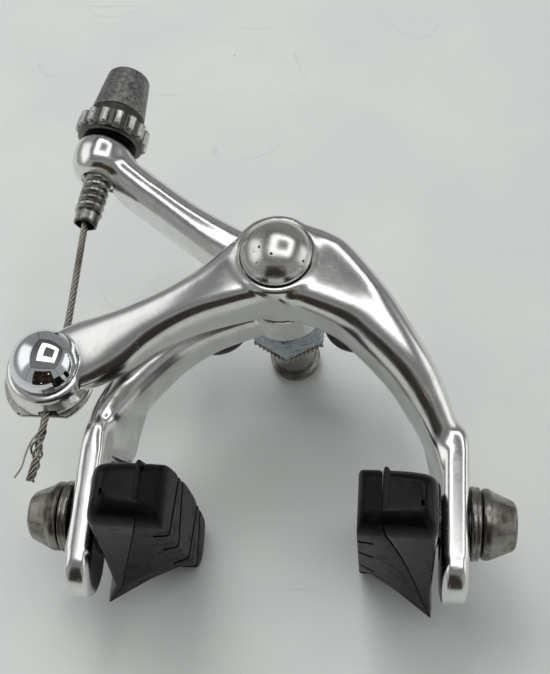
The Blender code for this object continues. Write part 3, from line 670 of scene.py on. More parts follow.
def knee_web(side, rows):
    """The flat inner face of an arm's knee, which slants inwards from the blade's front edge to the rear."""
    grid = []
    front, back = BLADE_FRONT + 1.2, BLADE_BACK - 0.4
    for z, front_x, rear_x in spline(rows, 4):
        inside = front_x + 2.0
        ring = [(front_x, front), (rear_x, back - 0.8), (rear_x + 0.5, back), (inside, back)]
        ring.append((inside, front + 1))
        grid.append([(side * x, y, z) for x, y in ring])
    return skin(grid)


def spring_stop(side, front):
    """The pin behind an arm that a leg of the spring leans on."""
    pin = [(0, front), (1.5, front), (1.5, -6.8), (1.1, -6.4), (0, -6.4)]
    return lathe(pin, np.array((side * STOP_X, 0, STOP_Z)), Y, 24)


def near(centre, reach):
    """A weight that is full round a centre and fades out at the reach."""
    return lambda p: 1 - smoothstep(0.5 * reach, reach, np.linalg.norm(p - np.array(centre), axis=1))


def one_skin(obj, joins):
    """Fuses overlapping closed meshes, with tight fillets on the blade and soft ones elsewhere.

    joins holds (centre, reach, rounds) of the places where two shapes flow into each other.
    """
    voxel, rounds = ((0.33, 60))
    remeshed(obj, voxel)
    relaxed(obj, rounds, lambda p: 0.3 + 0.7 * smoothstep(-33, -26, p[:, 2]))
    for centre, reach, times in joins:
        relaxed(obj, times, near(centre, reach), (0.5,))
    return obj


def stud_slot(side):
    """A cutter for the upright slot that the pad's stud slides in, with softened rims."""
    radius, travel, rim, half = 3.35, 4.0, 0.35, BLADE_HALF_T
    at = STUD[side]
    steps = [(-half - 2, rim + 0.4), (-half - 0.02, rim), (-half + rim, 0)]
    steps += [(-depth, extra) for depth, extra in reversed(steps)]
    grid = []
    for depth, extra in steps:
        r = radius + extra
        top = [(r * math.cos(a), travel + r * math.sin(a)) for a in np.linspace(0, math.pi, 17)]
        low = [(r * math.cos(a), -travel + r * math.sin(a)) for a in np.linspace(math.pi, math.tau, 17)]
        grid.append([(at[0] + depth, at[1] + y, at[2] + z) for y, z in top + low])
    return skin(grid)


def cable_slot():
    """A cutter for the groove behind the anchor boss. It widens both ways, as the cable swings in it."""
    reach, half_width, lean, play = 16, 1.25, 0.094, 0.6
    y, depth = -24.15, 1.3
    swing = math.tan(math.radians(JOINTS["front_arm_pivot"]["range_deg"][1] + play))
    grid = []
    for height in np.linspace(-reach, reach, 17):
        centre = ANCHOR[0] + 1.1 + lean * height
        left = centre - half_width - swing * max(0.0, height)
        right = centre + half_width + swing * max(0.0, -height)
        ring = []
        for a in turn_angles(32):
            across = (right - left) / 2 * math.copysign(abs(math.cos(a)) ** 0.5, math.cos(a))
            ring.append(((left + right) / 2 + across, y + depth * math.sin(a), ANCHOR[2] + height))
        grid.append(ring)
    return skin(grid)


FRONT_ARM = [
    (ANCHOR[0] - 2.3, ANCHOR[2] - 1.1, 6.0, -28.0, -23.3, 0.0),
    (-40.5, -19.2, 7.2, -29.0, -23.2, 0.0),
    (-33.8, -16.6, 6.7, -30.6, -23.4, 0.0),
    (-26.5, -12.8, 5.3, -32.6, -23.9, 0.0),
    (-18.8, -9.2, 5.0, -34.6, -24.3, 0.15),
    (-11.0, -5.4, 6.2, -36.1, -24.5, 0.4),
    (-4.5, -2.0, 8.0, -36.7, -24.5, 0.65),
    (0.0, -0.5, 8.9, -36.8, -24.5, 0.75),
    (4.6, -0.9, 9.2, -36.7, -24.4, 0.7),
    (9.2, -2.6, 8.7, -36.4, -24.3, 0.55),
    (16.5, -7.6, 6.8, -35.2, -22.8, 0.25),
    (21.4, -12.4, 5.9, -33.4, -20.6, 0.1),
    (26.4, -18.0, 5.0, -30.9, -17.6, 0.0),
    (29.9, -22.9, 4.5, -28.2, -14.6, 0.0),
    (33.0, -28.6, 3.7, -25.2, -12.0, 0.15),
    (34.9, -34.0, 3.0, -22.9, -10.6, 0.5),
    (STUD[1][0], -41.0, BLADE_HALF_T, BLADE_FRONT, BLADE_BACK, 0.5),
]
FRONT_HUB = [(0, -36.9), (8.3, -36.9), (9.0, -36.2), (9.3, -33.0), (9.6, -25.3), (9.2, -24.5), (0, -24.5)]
ANCHOR_BOSS = [(0, -28.2), (7.6, -28.2), (8.3, -27.2), (9.2, -23.8), (8.8, -23.1), (0, -23.1)]
FRONT_KNEE = [
    (-21.0, 28.0, 27.0),
    (-25.0, 30.2, 28.6),
    (-29.0, 32.2, 30.0),
    (-33.0, 33.8, 31.0),
    (-37.0, 34.4, 32.0),
    (-39.8, 34.8, 33.8),
]
FRONT_JOINS = (
    ((10.5, -34.5, -3.5), 8.0, 40),
    ((7.5, -33.0, 6.5), 6.0, 60),
    ((-11.0, -35.0, -4.0), 7.0, 30),
    ((34.5, -23.0, -28.0), 8.5, 50),
)

REAR_FRONT, REAR_BACK = -23.1, -13.0
REAR_UPPER = [
    (ADJUSTER[0] + 1.6, ADJUSTER[2] - 2.4, 3.4, -28.3, -19.6, -0.3),
    (-37.0, 25.5, 4.5, -28.3, -17.0, -0.3),
    (-31.0, 21.5, 4.5, -26.6, -15.6, -0.3),
    (-24.0, 17.0, 4.5, -24.8, -14.2, -0.25),
    (-17.0, 12.8, 4.9, -23.5, -13.2, -0.15),
    (-9.0, 8.0, 5.4, REAR_FRONT, REAR_BACK, 0.0),
    (0.0, 1.0, 6.5, REAR_FRONT, REAR_BACK, 0.0),
]
REAR_LOWER = [
    (1.0, 0.0, 6.5, REAR_FRONT, REAR_BACK, 0.0),
    (-8.0, -4.0, 5.6, REAR_FRONT, REAR_BACK, 0.0),
    (-16.0, -8.4, 4.8, REAR_FRONT, REAR_BACK, 0.0),
    (-22.8, -13.2, 4.6, REAR_FRONT, -12.0, 0.0),
    (-28.0, -18.6, 4.6, REAR_FRONT - 0.1, -11.0, 0.0),
    (-31.9, -24.0, 4.3, REAR_FRONT + 0.3, -10.3, 0.05),
    (-35.0, -29.4, 3.6, REAR_FRONT + 1.2, -10.0, 0.2),
    (-36.2, -35.4, 2.9, REAR_FRONT + 1.7, -9.9, 0.6),
    (-36.0, -42.0, BLADE_HALF_T, BLADE_FRONT, BLADE_BACK, 0.5),
    (STUD[-1][0], -49.0, BLADE_HALF_T, BLADE_FRONT, BLADE_BACK, 0.5),
]
REAR_HUB = [(0, REAR_FRONT), (9.0, REAR_FRONT), (9.0, REAR_BACK), (0, REAR_BACK)]
ADJUSTER_BOSS = [(0, 2.9), (5.6, 2.9), (6.6, 2.0), (7.0, -0.2), (6.8, -3.0), (5.8, -5.3), (4.5, -6.2)]
ADJUSTER_BOSS.append((0, -6.2))
REAR_KNEE = [
    (-19.0, 27.6, 26.6),
    (-23.0, 30.0, 27.6),
    (-27.3, 32.0, 28.5),
    (-32.0, 33.6, 29.2),
    (-36.3, 34.0, 29.9),
    (-39.6, 34.4, 33.0),
]
REAR_JOINS = (
    ((ADJUSTER[0] + 5.0, -24.0, ADJUSTER[2] - 3.5), 10.0, 110),
    ((-35.0, -22.0, -29.5), 9.0, 70),
    ((9.0, -22.0, 4.0), 6.0, 20),
)


def front_arm():
    """Anchor boss, hub and right-hand blade, polished as one piece."""
    parts = [
        skin(arm_grid(spline(FRONT_ARM, 6) + blade_rows(1))),
        lathe(rounded(FRONT_HUB, 0.5), PIVOT, Y),
        lathe(rounded(ANCHOR_BOSS, 0.6), ANCHOR + np.array((-0.1, 0, -0.6)), Y),
        knee_web(1, FRONT_KNEE),
        blade_slab(1, -28.6),
        spring_stop(1, -17.5),
    ]
    obj = one_skin(joined("front_arm_shell", parts), FRONT_JOINS)
    rim, front, floor = 7.45, -36.9, -32.2
    cap_seat = [(0, -45), (rim + 0.35, -45), (rim + 0.35, front + 0.05), (rim, front + 0.35), (rim, floor)]
    cap_seat += [(CLEAR_R, floor), (CLEAR_R, -20), (0, -20)]
    dome_seat = [(0, -40), (7.3, -40), (7.3, -28.2), (CLEAR_R, -28.2), (CLEAR_R, -16), (0, -16)]
    carved(obj, [lathe(cap_seat, PIVOT, Y), lathe(dome_seat, ANCHOR, Y), cable_slot(), stud_slot(1)])
    place("front_arm_shell", obj, POLISHED, "front_arm", 40)


def rear_arm():
    """Adjuster boss, hub and left-hand blade, polished as one piece."""
    parts = [
        skin(arm_grid(spline(REAR_LOWER, 6) + blade_rows(-1))),
        skin(arm_grid(spline(REAR_UPPER, 6))),
        lathe(rounded(REAR_HUB, 0.6), PIVOT, Y),
        lathe(rounded(ADJUSTER_BOSS, 0.8), ADJUSTER, LEAN),
        knee_web(-1, REAR_KNEE),
        blade_slab(-1, -30.2),
        spring_stop(-1, -14.5),
    ]
    obj = one_skin(joined("rear_arm_shell", parts), REAR_JOINS)
    hole = [(0, -20), (3.9, -20), (3.9, -6.0), (CLEAR_R, -5.5), (CLEAR_R, 20), (0, 20)]
    carved(obj, [drill(CLEAR_R, -30, -5, segments=64), lathe(hole, ADJUSTER, LEAN, 64), stud_slot(-1)])
    place("rear_arm_shell", obj, POLISHED, "rear_arm", 40)


# ---------------------------------------------------------------- pivot and anchor


def pivot_cap():
    crown, base = span("pivot_cap")
    low, high = span("pivot_cap", 0)
    radius, plug = (high - low) / 2, base - 3.5
    profile = dome(radius, base, base - crown, 0.7)
    profile += [(radius, base), (CLEAR_R, base), (CLEAR_R, plug), (0, plug)]
    place("pivot_cap_dome", lathe(profile, PIVOT, Y, 128), AGED, "pivot_cap")


def pivot_bolt():
    head, rear = span("center_bolt")
    shank = [(0, head), (2.6, head), (BOLT_R, head + 0.4), (BOLT_R, -2.0)]
    place("pivot_bolt", bolt(shank, 0.0, rear, PIVOT), ZINC, "center_bolt")


def spring_block():
    """The hexagonal block that holds the middle of the spring."""
    block = prism(polygon(highest("spring_block")[2], 6, math.pi / 2), *span("spring_block"), 0.5)
    wire_hole = tube([(-12, WIRE_Y, WIRE_Z), (12, WIRE_Y, WIRE_Z)], WIRE_R + 0.25, 20)
    obj = carved(joined("spring_block_body", [block]), [drill(CLEAR_R, -30, 30), wire_hole])
    place("spring_block_body", obj, ZINC, "spring_block", 25)


def toothed_washer():
    """A hexagonal washer as wide as the spring's block, with fine teeth round its rim."""
    teeth, per_tooth = 48, 6
    corner = highest("spring_block")[2]
    sixth = math.radians(60)
    outline = []
    for k, angle in enumerate(turn_angles(teeth * per_tooth)):
        flat = (angle + sixth / 2) % sixth - sixth / 2
        wave = abs((k / per_tooth) % 1.0 * 2 - 1)
        radius = corner * math.cos(sixth / 2) / math.cos(flat) - 0.3 + 0.5 * float(smoothstep(0.2, 0.8, wave))
        outline.append((radius * math.cos(angle), radius * math.sin(angle)))
    star = prism(outline, *span("star_washer"), 0.15)
    star = carved(joined("toothed_washer", [star]), [drill(CLEAR_R, -30, 30)])
    place("toothed_washer", star, OXIDISED, "star_washer", 30)


def recessed_nut():
    front, back = span("mounting_nut")
    nut = [(SNUG_R, front), (4.7, front), (5.1, front + 0.5), (5.1, back - 2.4), (6.1, back - 2.1)]
    nut = rounded(nut + [(6.1, back), (SNUG_R, back)], 0.3) + [(SNUG_R, front)]
    place("recessed_nut", lathe(nut, PIVOT, Y), OXIDISED, "mounting_nut")


def pivot_washers():
    retouch("pivot_locknut", ZINC)
    retouch("front_pivot_washer", ZINC)
    retouch("middle_pivot_washer", MOULDING)
    retouch("rear_pivot_washer", ZINC)


def anchor_pieces():
    """Domed bolt, clamping disc and hexagonal nut that hold the cable."""
    seat = -28.5
    crown, end = span("anchor_bolt")
    head = dome(7.0, seat, seat - crown, 0.3, 24) + [(6.9, seat), (BOLT_R, seat), (BOLT_R, -21.5)]
    place("anchor_dome", bolt(head, -21.0, end, ANCHOR, Y, 96), CHROME, "anchor_bolt")

    rim = polygon(9.5, 72, at=(ANCHOR[0] - 0.6, ANCHOR[2] - 1.5))
    disc = prism([(x, max(z, ANCHOR[2] - 9.6)) for x, z in rim], *span("clamp_plate"), 0.25)
    nut = prism(polygon(5.7, 6, 0.2, (ANCHOR[0], ANCHOR[2])), *span("anchor_nut"), 0.4)
    rows = (("clamp_disc", disc, AGED, "clamp_plate"), ("anchor_hex_nut", nut, OXIDISED, "anchor_nut"))
    for name, shape, material, node in rows:
        place(name, carved(joined(name, [shape]), [drill(SNUG_R, -40, 0, ANCHOR)]), material, node, 30)


# ---------------------------------------------------------------- cable

WOUND_R = 0.53


def cable_line():
    """Corners of the cable's middle line: in the barrel, above and below the clamp, and at its cut end."""
    y = sum(span("brake_cable")) / 2
    low, high = span("brake_cable", 2)
    left, right = span("brake_cable", 0)
    x_top, x_end = right - 0.8, left + 0.8
    corners = ((x_top, y, high - 2.0), (x_top, y, ANCHOR[2] + 11.5), (x_end, y, ANCHOR[2] - 11.5))
    corners += ((x_end - 0.1, y - 0.2, -38.0), (x_end - 0.5, y - 0.4, low + 0.8))
    return [np.array(corner) for corner in corners]


def evened(corners, step=0.35):
    """The same line with many points."""
    line = []
    for a, b in zip(corners, corners[1:]):
        steps = max(2, round(np.linalg.norm(b - a) / step))
        line += [a + (b - a) * k / steps for k in range(steps)]
    return line + [corners[-1]]


def strand(path, radius_of, start_angle, lay=7.5, thickness=0.25):
    """One wire of a twisted cable, wound round the path at a distance that radius_of gives along it."""
    points = []
    run = 0.0
    for i, point in enumerate(path):
        ahead = unit(path[min(i + 1, len(path) - 1)] - path[max(i - 1, 0)])
        if i:
            run += np.linalg.norm(path[i] - path[i - 1])
        across = unit(np.cross(ahead, Y))
        angle = start_angle + math.tau * run / lay
        points += circle(point, across, np.cross(ahead, across), radius_of(run), [angle])
    return tube(points, thickness, 8)


def opened(amount, frayed, length):
    """A strand's distance from the middle line: tight as far as frayed, and looser from there."""

    def radius_of(run):
        t = (run - frayed) / (length - frayed)
        if t <= 0:
            return WOUND_R
        bulge = math.sin(math.pi * min(1.0, t / 0.95)) ** 2
        return WOUND_R + amount * bulge + 1.25 * max(0.0, t - 0.8)

    return radius_of


def cable():
    """Seven twisted wires, of which one leaves the rest below the clamp and curls away."""
    corners = cable_line()
    lengths = [np.linalg.norm(b - a) for a, b in zip(corners, corners[1:])]
    frayed, length = sum(lengths[:2]), sum(lengths)
    line = evened(corners)
    wires = [strand(line, lambda run: 0.0, 0.0)]
    for k, amount in enumerate((0.1, 0.9, 0.15, 0.5, 0.1)):
        wires.append(strand(line, opened(amount, frayed, length), math.tau * k / 6))
    wound = [p for p in line if p[2] > ANCHOR[2] - 12.0]
    wires.append(strand(wound, lambda run: WOUND_R, math.tau * 5 / 6))
    curl = ((0, 0, 0), (-0.5, -0.3, -1.5), (-1.7, -0.5, -3.6), (-2.4, -0.6, -6.4), (-2.8, -0.5, -9.0))
    curl += ((-3.9, -0.4, -11.2),)
    wires.append(tube(spline([wound[-1] + np.array(p) for p in curl], 8), 0.2, 8))
    place("twisted_cable", joined("twisted_cable", wires), CABLE_STEEL, "brake_cable", 60)


# ---------------------------------------------------------------- adjuster

# Heights here are measured along the leaning axis, from the joint's point.

WHEEL_LOW, WHEEL_HIGH = 3.7, 8.7
BARREL_LOW, BARREL_HIGH = -17.4, 20.0


def ribbed(radius, height, angle):
    """Ribs over the wheel's upper two thirds, with rounded feet."""
    ribs, root, crest = 15, 7.25, 8.3
    if radius < 6.5:
        return radius
    distance = abs((angle * ribs / math.tau) % 1.0 - 0.5) * 2
    rib = float(1 - smoothstep(0.28, 0.72, distance))
    foot = float(smoothstep(WHEEL_LOW + 0.7, WHEEL_LOW + 1.4 + 0.5 * distance, height))
    top = float(1 - smoothstep(WHEEL_HIGH - 0.5, WHEEL_HIGH, height))
    base = root + 0.35 * (1 - float(smoothstep(WHEEL_LOW + 0.7, WHEEL_LOW + 1.0, height)))
    return min(radius, base + (crest - base) * rib * foot * (0.6 + 0.4 * top))


def ribbed_wheel():
    low, high = WHEEL_LOW, WHEEL_HIGH
    profile = [(CLEAR_R, low), (6.7, low), (7.2, low + 0.2), (7.5, low + 0.55)]
    profile += flank(8.4, low + 0.9, high - 0.35, 26)
    profile += [(7.9, high - 0.1), (7.3, high), (6.3, high), (6.1, high - 0.3), (CLEAR_R, high - 0.3)]
    wheel = lathe(profile, ADJUSTER, LEAN, 300, ribbed)
    place("ribbed_wheel", wheel, WHEEL_METAL, "adjuster_wheel", 50)


def housing_stop():
    """The cup that the cable's housing ends in."""
    base, tip, floor = 9.1, 22.4, BARREL_HIGH + 0.3
    cup = [(CLEAR_R, base), (5.5, base), (5.8, base + 0.4), (5.95, base + 2.2), (6.15, base + 2.4)]
    cup += [(6.1, base + 3.2), (4.95, tip - 0.7), (4.4, tip), (3.0, tip), (2.6, tip - 0.4), (2.6, floor)]
    cup = rounded(cup + [(CLEAR_R, floor)], 0.25, 3) + [(CLEAR_R, base)]
    place("cable_housing_stop", lathe(cup, ADJUSTER, LEAN, 96), CAST_ZINC, "housing_stop")


def faceted_end(shape, until, sides=8):
    """The same radius function, with flats round the barrel's lower end."""

    def radius_at(radius, height, angle):
        if height < until and radius > 2.3:
            flat = (angle % (math.tau / sides)) - math.pi / sides
            return radius * math.cos(math.pi / sides) / math.cos(flat) * 1.04
        return shape(radius, height, angle)

    return radius_at


def threaded_barrel():
    inner, core, crest, pitch = 2.15, 2.6, 3.05, 1.75
    foot = BARREL_LOW
    low, high = foot + 3.0, -6.0
    profile = [(inner, foot), (2.45, foot), (2.7, foot + 0.3), (2.75, foot + 2.6), (core, foot + 2.9)]
    profile += flank(crest, low, high, 70)
    profile += [(crest, -5.0), (crest, BARREL_HIGH), (inner, BARREL_HIGH), (inner, foot)]
    outside = faceted_end(thread(core, crest, pitch, low, high), foot + 2.95)
    barrel = lathe(profile, ADJUSTER, LEAN, 72, outside)
    place("threaded_barrel", barrel, THREAD_METAL, "adjuster_barrel", 45)


def wheel_ring():
    ring = [(CLEAR_R, 3.1), (6.0, 3.1), (6.2, 3.3), (6.0, 3.5), (CLEAR_R, 3.5)]
    place("wheel_ring", lathe(ring, ADJUSTER, LEAN, 64), RUBBER, "wheel_seat_ring")


# ---------------------------------------------------------------- spring


def spring_wire(side, radius):
    """Half of the spring: out of the block, round a coil, and down behind the arm to its stop."""
    centre, turns, steps = 9.2 + radius, 1.25, 60
    path = [(0.15, WIRE_Y, WIRE_Z), (5.0, WIRE_Y, WIRE_Z)]
    for k in range(steps + 1):
        turn = math.tau * turns * k / steps
        x, z = centre + radius * math.sin(turn), WIRE_Z - radius + radius * math.cos(turn)
        path.append((x, WIRE_Y + (LEG_Y - WIRE_Y) * k / steps, z))
    leg = [path[-1], (centre + radius + 0.3, LEG_Y, -5.0), (STOP_X - 2.9, LEG_Y, STOP_Z + 1.8)]
    leg.append((STOP_X - 2.8, LEG_Y, STOP_Z + 0.2))
    path = path[:-1] + spline(leg, 10)
    wire = tube([(side * x, y, z) for x, y, z in path], WIRE_R, 16)
    name = ("left" if side < 0 else "right") + "_spring_wire"
    piece = place(name, wire, SPRING_STEEL, "return_spring", rides=False)
    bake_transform(piece)


# ---------------------------------------------------------------- pads

PAD_LENGTH = 47.0
PAD_HALF = PAD_LENGTH / 2
PAD_TOP = 6.2
PAD_BOTTOM = -6.6
PAD_WIDTH = 14.3
PAD_END_DROP = 1.7
PAD_SEAM = 4.4
FIN_DEPTH = 9.5
FIN_TIP_Y = 11.5
PAD_SLOTS = ((-12.1, -1), (-5.5, 1), (9.6, -1), (16.2, 1))
PAD_SLANT = 14.0
SLOT_WIDTH = 1.3
WASHER = [(7.0, 0), (7.2, 0.3), (7.2, 0.75), (6.9, 0.95), (7.1, 1.2), (7.1, 1.6), (6.8, 1.8), (SNUG_R, 1.8)]
CONE_NUT = [(6.5, 0), (6.9, 0.5), (6.9, 1.5), (6.6, 2.2), (4.9, 6.1), (4.3, 6.6), (3.5, 6.6), (SNUG_R, 6.3)]


def cone_flats(radius, height, angle):
    """Six faint flats on the cone nut, which run out towards its foot."""
    if radius < 4.0:
        return radius
    share = float(smoothstep(1.2, 2.6, height))
    flat = angle % (math.tau / 6) - math.pi / 6
    return radius * (1 - share * 0.055 * (1 - (abs(flat) / (math.pi / 6)) ** 2))


def pad_fastenings(side, prefix):
    """Washer and conical nut outside a blade, and the stud that carries the pad."""
    axis = side * X
    at = STUD[side] * (Y + Z)
    face = at + axis * (abs(STUD[side][0]) + BLADE_HALF_T + 0.3)
    ends = [(SNUG_R, 0)]
    washer = lathe(rounded(ends + WASHER + ends, 0.12, 3), face, axis)
    place(prefix + "_flat_washer", washer, OXIDISED, prefix + "_washer")
    nut = lathe(rounded(ends + CONE_NUT + ends, 0.4, 4), face + axis * 2.1, axis, 120, cone_flats)
    place(prefix + "_cone_nut", nut, OXIDISED, prefix + "_nut")
    inner, outer = sorted(abs(x) for x in span(prefix + "_stud", 0))
    shank = [(0, inner), (BOLT_R, inner), (BOLT_R, outer - 9)]
    place(prefix + "_threaded_stud", bolt(shank, outer - 8.5, outer, at, axis), ZINC, prefix + "_stud")


def quarter_round(share):
    return 1 - math.sqrt(max(0.0, 1 - share**2))


def end_round(y, reach):
    """How far a corner at the pad's ends has turned in, for a corner of the given reach."""
    return quarter_round(max(0.0, (abs(y) - (PAD_HALF - reach)) / reach))


def pad_stations(count=110):
    """(y, depth of the fin, place of the seam) along a pad, closest together at its ends."""
    shares = [0.5 - 0.5 * math.cos(math.pi * k / count) for k in range(count + 1)]
    ys = {round(-PAD_HALF + PAD_LENGTH * share, 4) for share in shares}
    rows = []
    for y in sorted(ys | {FIN_TIP_Y}):
        along = (y + PAD_HALF) / (FIN_TIP_Y + PAD_HALF)
        past = (y - FIN_TIP_Y) / (PAD_HALF - FIN_TIP_Y)
        fin = along**1.2 if past <= 0 else (1 - past) ** 3
        rows.append((y, fin, min(along, 1.0) if past <= 0 else (1 - past) ** 0.5))
    return rows


def pad_top(y):
    """Height of a pad's top, which droops towards both ends."""
    return PAD_TOP - PAD_END_DROP * (2 * y / PAD_LENGTH) ** 2


def underside(share, fin):
    """Height of a pad's underside, at a share of the way from its face to its back. It is slightly hollow."""
    return PAD_BOTTOM - FIN_DEPTH * fin * (share - 0.25 * share * (1 - share))


def slotted(top, y):
    """The block's top, softly sunk where the slots cross it."""
    for at, way in PAD_SLOTS:
        reach = (y - at + PAD_TOP * math.sin(math.radians(way * PAD_SLANT))) / 1.2
        top -= 0.7 * math.exp(-(reach**2))
    return top


def holder_ring(face, outer, top, lift, fin, progress):
    """The holder's section. Its foot runs from the seam out to the fin's edge."""
    seam = face + PAD_SEAM
    split = seam + (outer - seam) * progress
    share = (split - face) / (outer - face)
    low = underside(1, fin) + lift
    fin_edge = np.array((outer - 0.9 * (1 - progress) - 0.1, low + 0.6 + 0.6 * progress))
    seam_edge = np.array((split - 0.1 * progress, underside(share, fin) + lift + 0.05 + 0.12 * progress))
    foot = fin_edge - seam_edge
    halfway = (seam, (top + PAD_BOTTOM) / 2)
    outline = [
        halfway,
        (seam, top - 0.25),
        (seam + 0.25, top),
        (outer - 4.5, top),
        (outer, top - 0.6),
        (outer, top - 5.0),
        (outer, low + 1.9),
        fin_edge,
        seam_edge + foot * min(0.3, 0.5 / (1e-6 + np.linalg.norm(foot))),
        seam_edge,
        (seam, PAD_BOTTOM + 0.9 + lift),
        halfway,
    ]
    return rounded(outline, 2.2, 5)[:-1]


def block_ring(face, nose, outer, top, lift, fin, progress):
    """The rubber block's section, from its face to the seam and down to the fin."""
    under = face + PAD_SEAM - 0.12
    split = under + (outer - under) * progress
    share = (split - face) / (outer - face)
    halfway = (face + nose, (top + PAD_BOTTOM) / 2)
    outline = [
        halfway,
        (face + nose, top - 0.1),
        (under, top),
        (under, PAD_BOTTOM + 0.4 + lift),
        (split, underside(share, fin) + lift),
        ((face + split) / 2, underside(share / 2, fin) + lift),
        (face + nose, PAD_BOTTOM + lift),
        halfway,
    ]
    return rounded(outline, 0.7, 4)[:-1]


def lip_rings(seam):
    """The thin raised lip where the holder's mould closed, round its front end and along its top."""
    foot = PAD_BOTTOM + 4.2
    rings = []
    for offset, out in ((-0.05, -0.4), (0.15, 0.15), (0.45, 0.3), (0.8, 0.2), (1.0, 0.0), (1.3, -0.4)):
        ring = [(-PAD_HALF - out, foot)]
        for k in range(41):
            y = -PAD_HALF + PAD_LENGTH * k / 40
            ring.append((y - out * (1 - k / 20), pad_top(y) + out))
        ring.append((PAD_HALF + out, foot))
        rings.append((seam + offset, ring))
    return rings


def slot_cutter(y, way):
    bm = bmesh.new()
    bmesh.ops.create_cube(bm, size=1)
    bmesh.ops.scale(bm, vec=(6.0, SLOT_WIDTH, 40.0), verts=bm.verts)
    bmesh.ops.transform(bm, matrix=Matrix.Rotation(math.radians(way * PAD_SLANT), 4, "X"), verts=bm.verts)
    bmesh.ops.translate(bm, vec=(0, y, 0), verts=bm.verts)
    return bm


def pad(side, prefix):
    """A pad's moulded holder and its rubber block, which meet at a seam that slants down to the fin."""
    face, tip = sorted(abs(x) for x in span(prefix + "_block", 0))
    back = face + PAD_WIDTH
    y_at, z_at = STUD[side][1], highest(prefix + "_holder")[2] - PAD_TOP
    holder_grid, block_grid = [], []
    for y, fin, progress in pad_stations():
        corner = end_round(y, 5.0)
        top = pad_top(y) - 1.9 * end_round(y, 2.6)
        lift = 4.0 * end_round(y, 4.5)
        nose = 1.5 * corner if y < 0 else 0.0
        outer = back + (tip - back) * max(0.0, 1 - abs(y - FIN_TIP_Y) / 5.0) - 3.4 * corner
        holder = holder_ring(face, outer, top, lift, fin, progress)
        block = block_ring(face, nose, outer, slotted(top, y), lift, fin, progress)
        holder_grid.append([(side * u, y_at + y, z_at + w) for u, w in holder])
        block_grid.append([(side * u, y_at + y, z_at + w) for u, w in block])
    lip = [[(side * x, y_at + y, z_at + w) for y, w in ring] for x, ring in lip_rings(face + PAD_SEAM)]

    blade = abs(STUD[side][0]) - BLADE_HALF_T - 0.3
    collar = rounded([(0, blade - 4), (5.8, blade - 4), (5.0, blade), (0, blade)], 0.4)
    collar = lathe(collar, STUD[side] * (Y + Z), side * X)
    holder = joined(prefix + "_shell", [skin(holder_grid), collar, skin(lip)])
    place(prefix + "_shell", holder, MOULDING, prefix + "_holder", 28)

    cutters = [slot_cutter(*slot) for slot in PAD_SLOTS]
    for bm in cutters:
        bmesh.ops.translate(bm, vec=(side * face, y_at, z_at), verts=bm.verts)
    block = carved(joined(prefix + "_rubber", [skin(block_grid)]), cutters)
    place(prefix + "_rubber", block, RUBBER, prefix + "_block", 28)


# ---------------------------------------------------------------- room, table and camera

TABLE_UP = unit((0, -0.974, 0.229))
ROOM_RIGHT = unit(np.cross((0.08, 0, 1.0), TABLE_UP))
ROOM_FAR = np.cross(ROOM_RIGHT, -TABLE_UP)
ROOM_LEFT_AT, ROOM_RIGHT_AT = 0.60, 1.05
ROOM_NEAR_AT, ROOM_FAR_AT = 0.72, 1.05
RING_X, RING_Z = 0.20, 0.20
RING_INNER, RING_OUTER = 0.24, 0.47
CEILING_LIGHT = 0.18
WALL_LIGHT = 0.33
WINDOW_LIGHT = 0.85
RING_LIGHT = 2.1
BACKDROP = 0.62
DAYLIGHT = (0.985, 1.0, 0.99)


def band(s, value, centre, half, soft):
    """Full near a centre, and none past half a width on either side."""
    distance = s.math("ABSOLUTE", s.math("SUBTRACT", value, centre))
    return s.ramp(distance, half + soft, half - soft)


def ceiling_ring(s, x, z):
    """Shares of the square ring of light: past its inner edge, and short of its outer one."""
    soft = 0.015
    across, along = (s.math("ABSOLUTE", s.math("SUBTRACT", a, at)) for a, at in ((x, RING_X), (z, RING_Z)))
    reach = s.most(across, along)
    inside = s.ramp(reach, RING_INNER - soft, RING_INNER + soft)
    return inside, s.ramp(reach, RING_OUTER + soft, RING_OUTER - soft)


def room_light(s, up, across, away):
    """Light from the room's box round the caliper, in units of the height of its ceiling."""
    to_side = s.most(s.math("DIVIDE", across, ROOM_RIGHT_AT), s.math("DIVIDE", across, -ROOM_LEFT_AT))
    to_end = s.most(s.math("DIVIDE", away, ROOM_FAR_AT), s.math("DIVIDE", away, -ROOM_NEAR_AT))
    nearest = s.most(up, to_side, to_end)
    second = s.math("MINIMUM", s.most(up, to_side), to_end)
    second = s.most(second, s.math("MINIMUM", up, to_side))
    x, y, z = (s.math("DIVIDE", value, nearest) for value in (across, up, away))

    on_ceiling = s.ramp(y, 0.985, 0.995)
    on_left = s.math("LESS_THAN", x, -ROOM_LEFT_AT + 0.01)
    on_right = s.math("GREATER_THAN", x, ROOM_RIGHT_AT - 0.01)
    light = s.ramp(on_ceiling, 0.0, 1.0, WALL_LIGHT, CEILING_LIGHT)
    light = s.sum(light, s.ramp(z, -0.3, 0.6, 0.0, -0.08))
    corner = s.ramp(s.math("DIVIDE", second, nearest), 0.955, 0.985)
    light = s.times(light, s.ramp(corner, 0.0, 1.0, 1.0, 0.35))
    left_window = s.times(band(s, y, 0.55, 0.33, 0.10), band(s, z, 0.0, 0.35, 0.10))
    right_window = s.times(band(s, y, 0.33, 0.33, 0.10), band(s, z, 0.25, 0.40, 0.10))
    light = s.sum(light, s.times(s.times(on_left, left_window), WINDOW_LIGHT))
    light = s.sum(light, s.times(s.times(on_right, right_window), WINDOW_LIGHT))
    inside, outside = ceiling_ring(s, x, z)
    light = s.sum(light, s.times(inside, on_ceiling, outside, RING_LIGHT))
    return s.times(light, s.ramp(up, -0.10, 0.02, 0.30, 1.0))


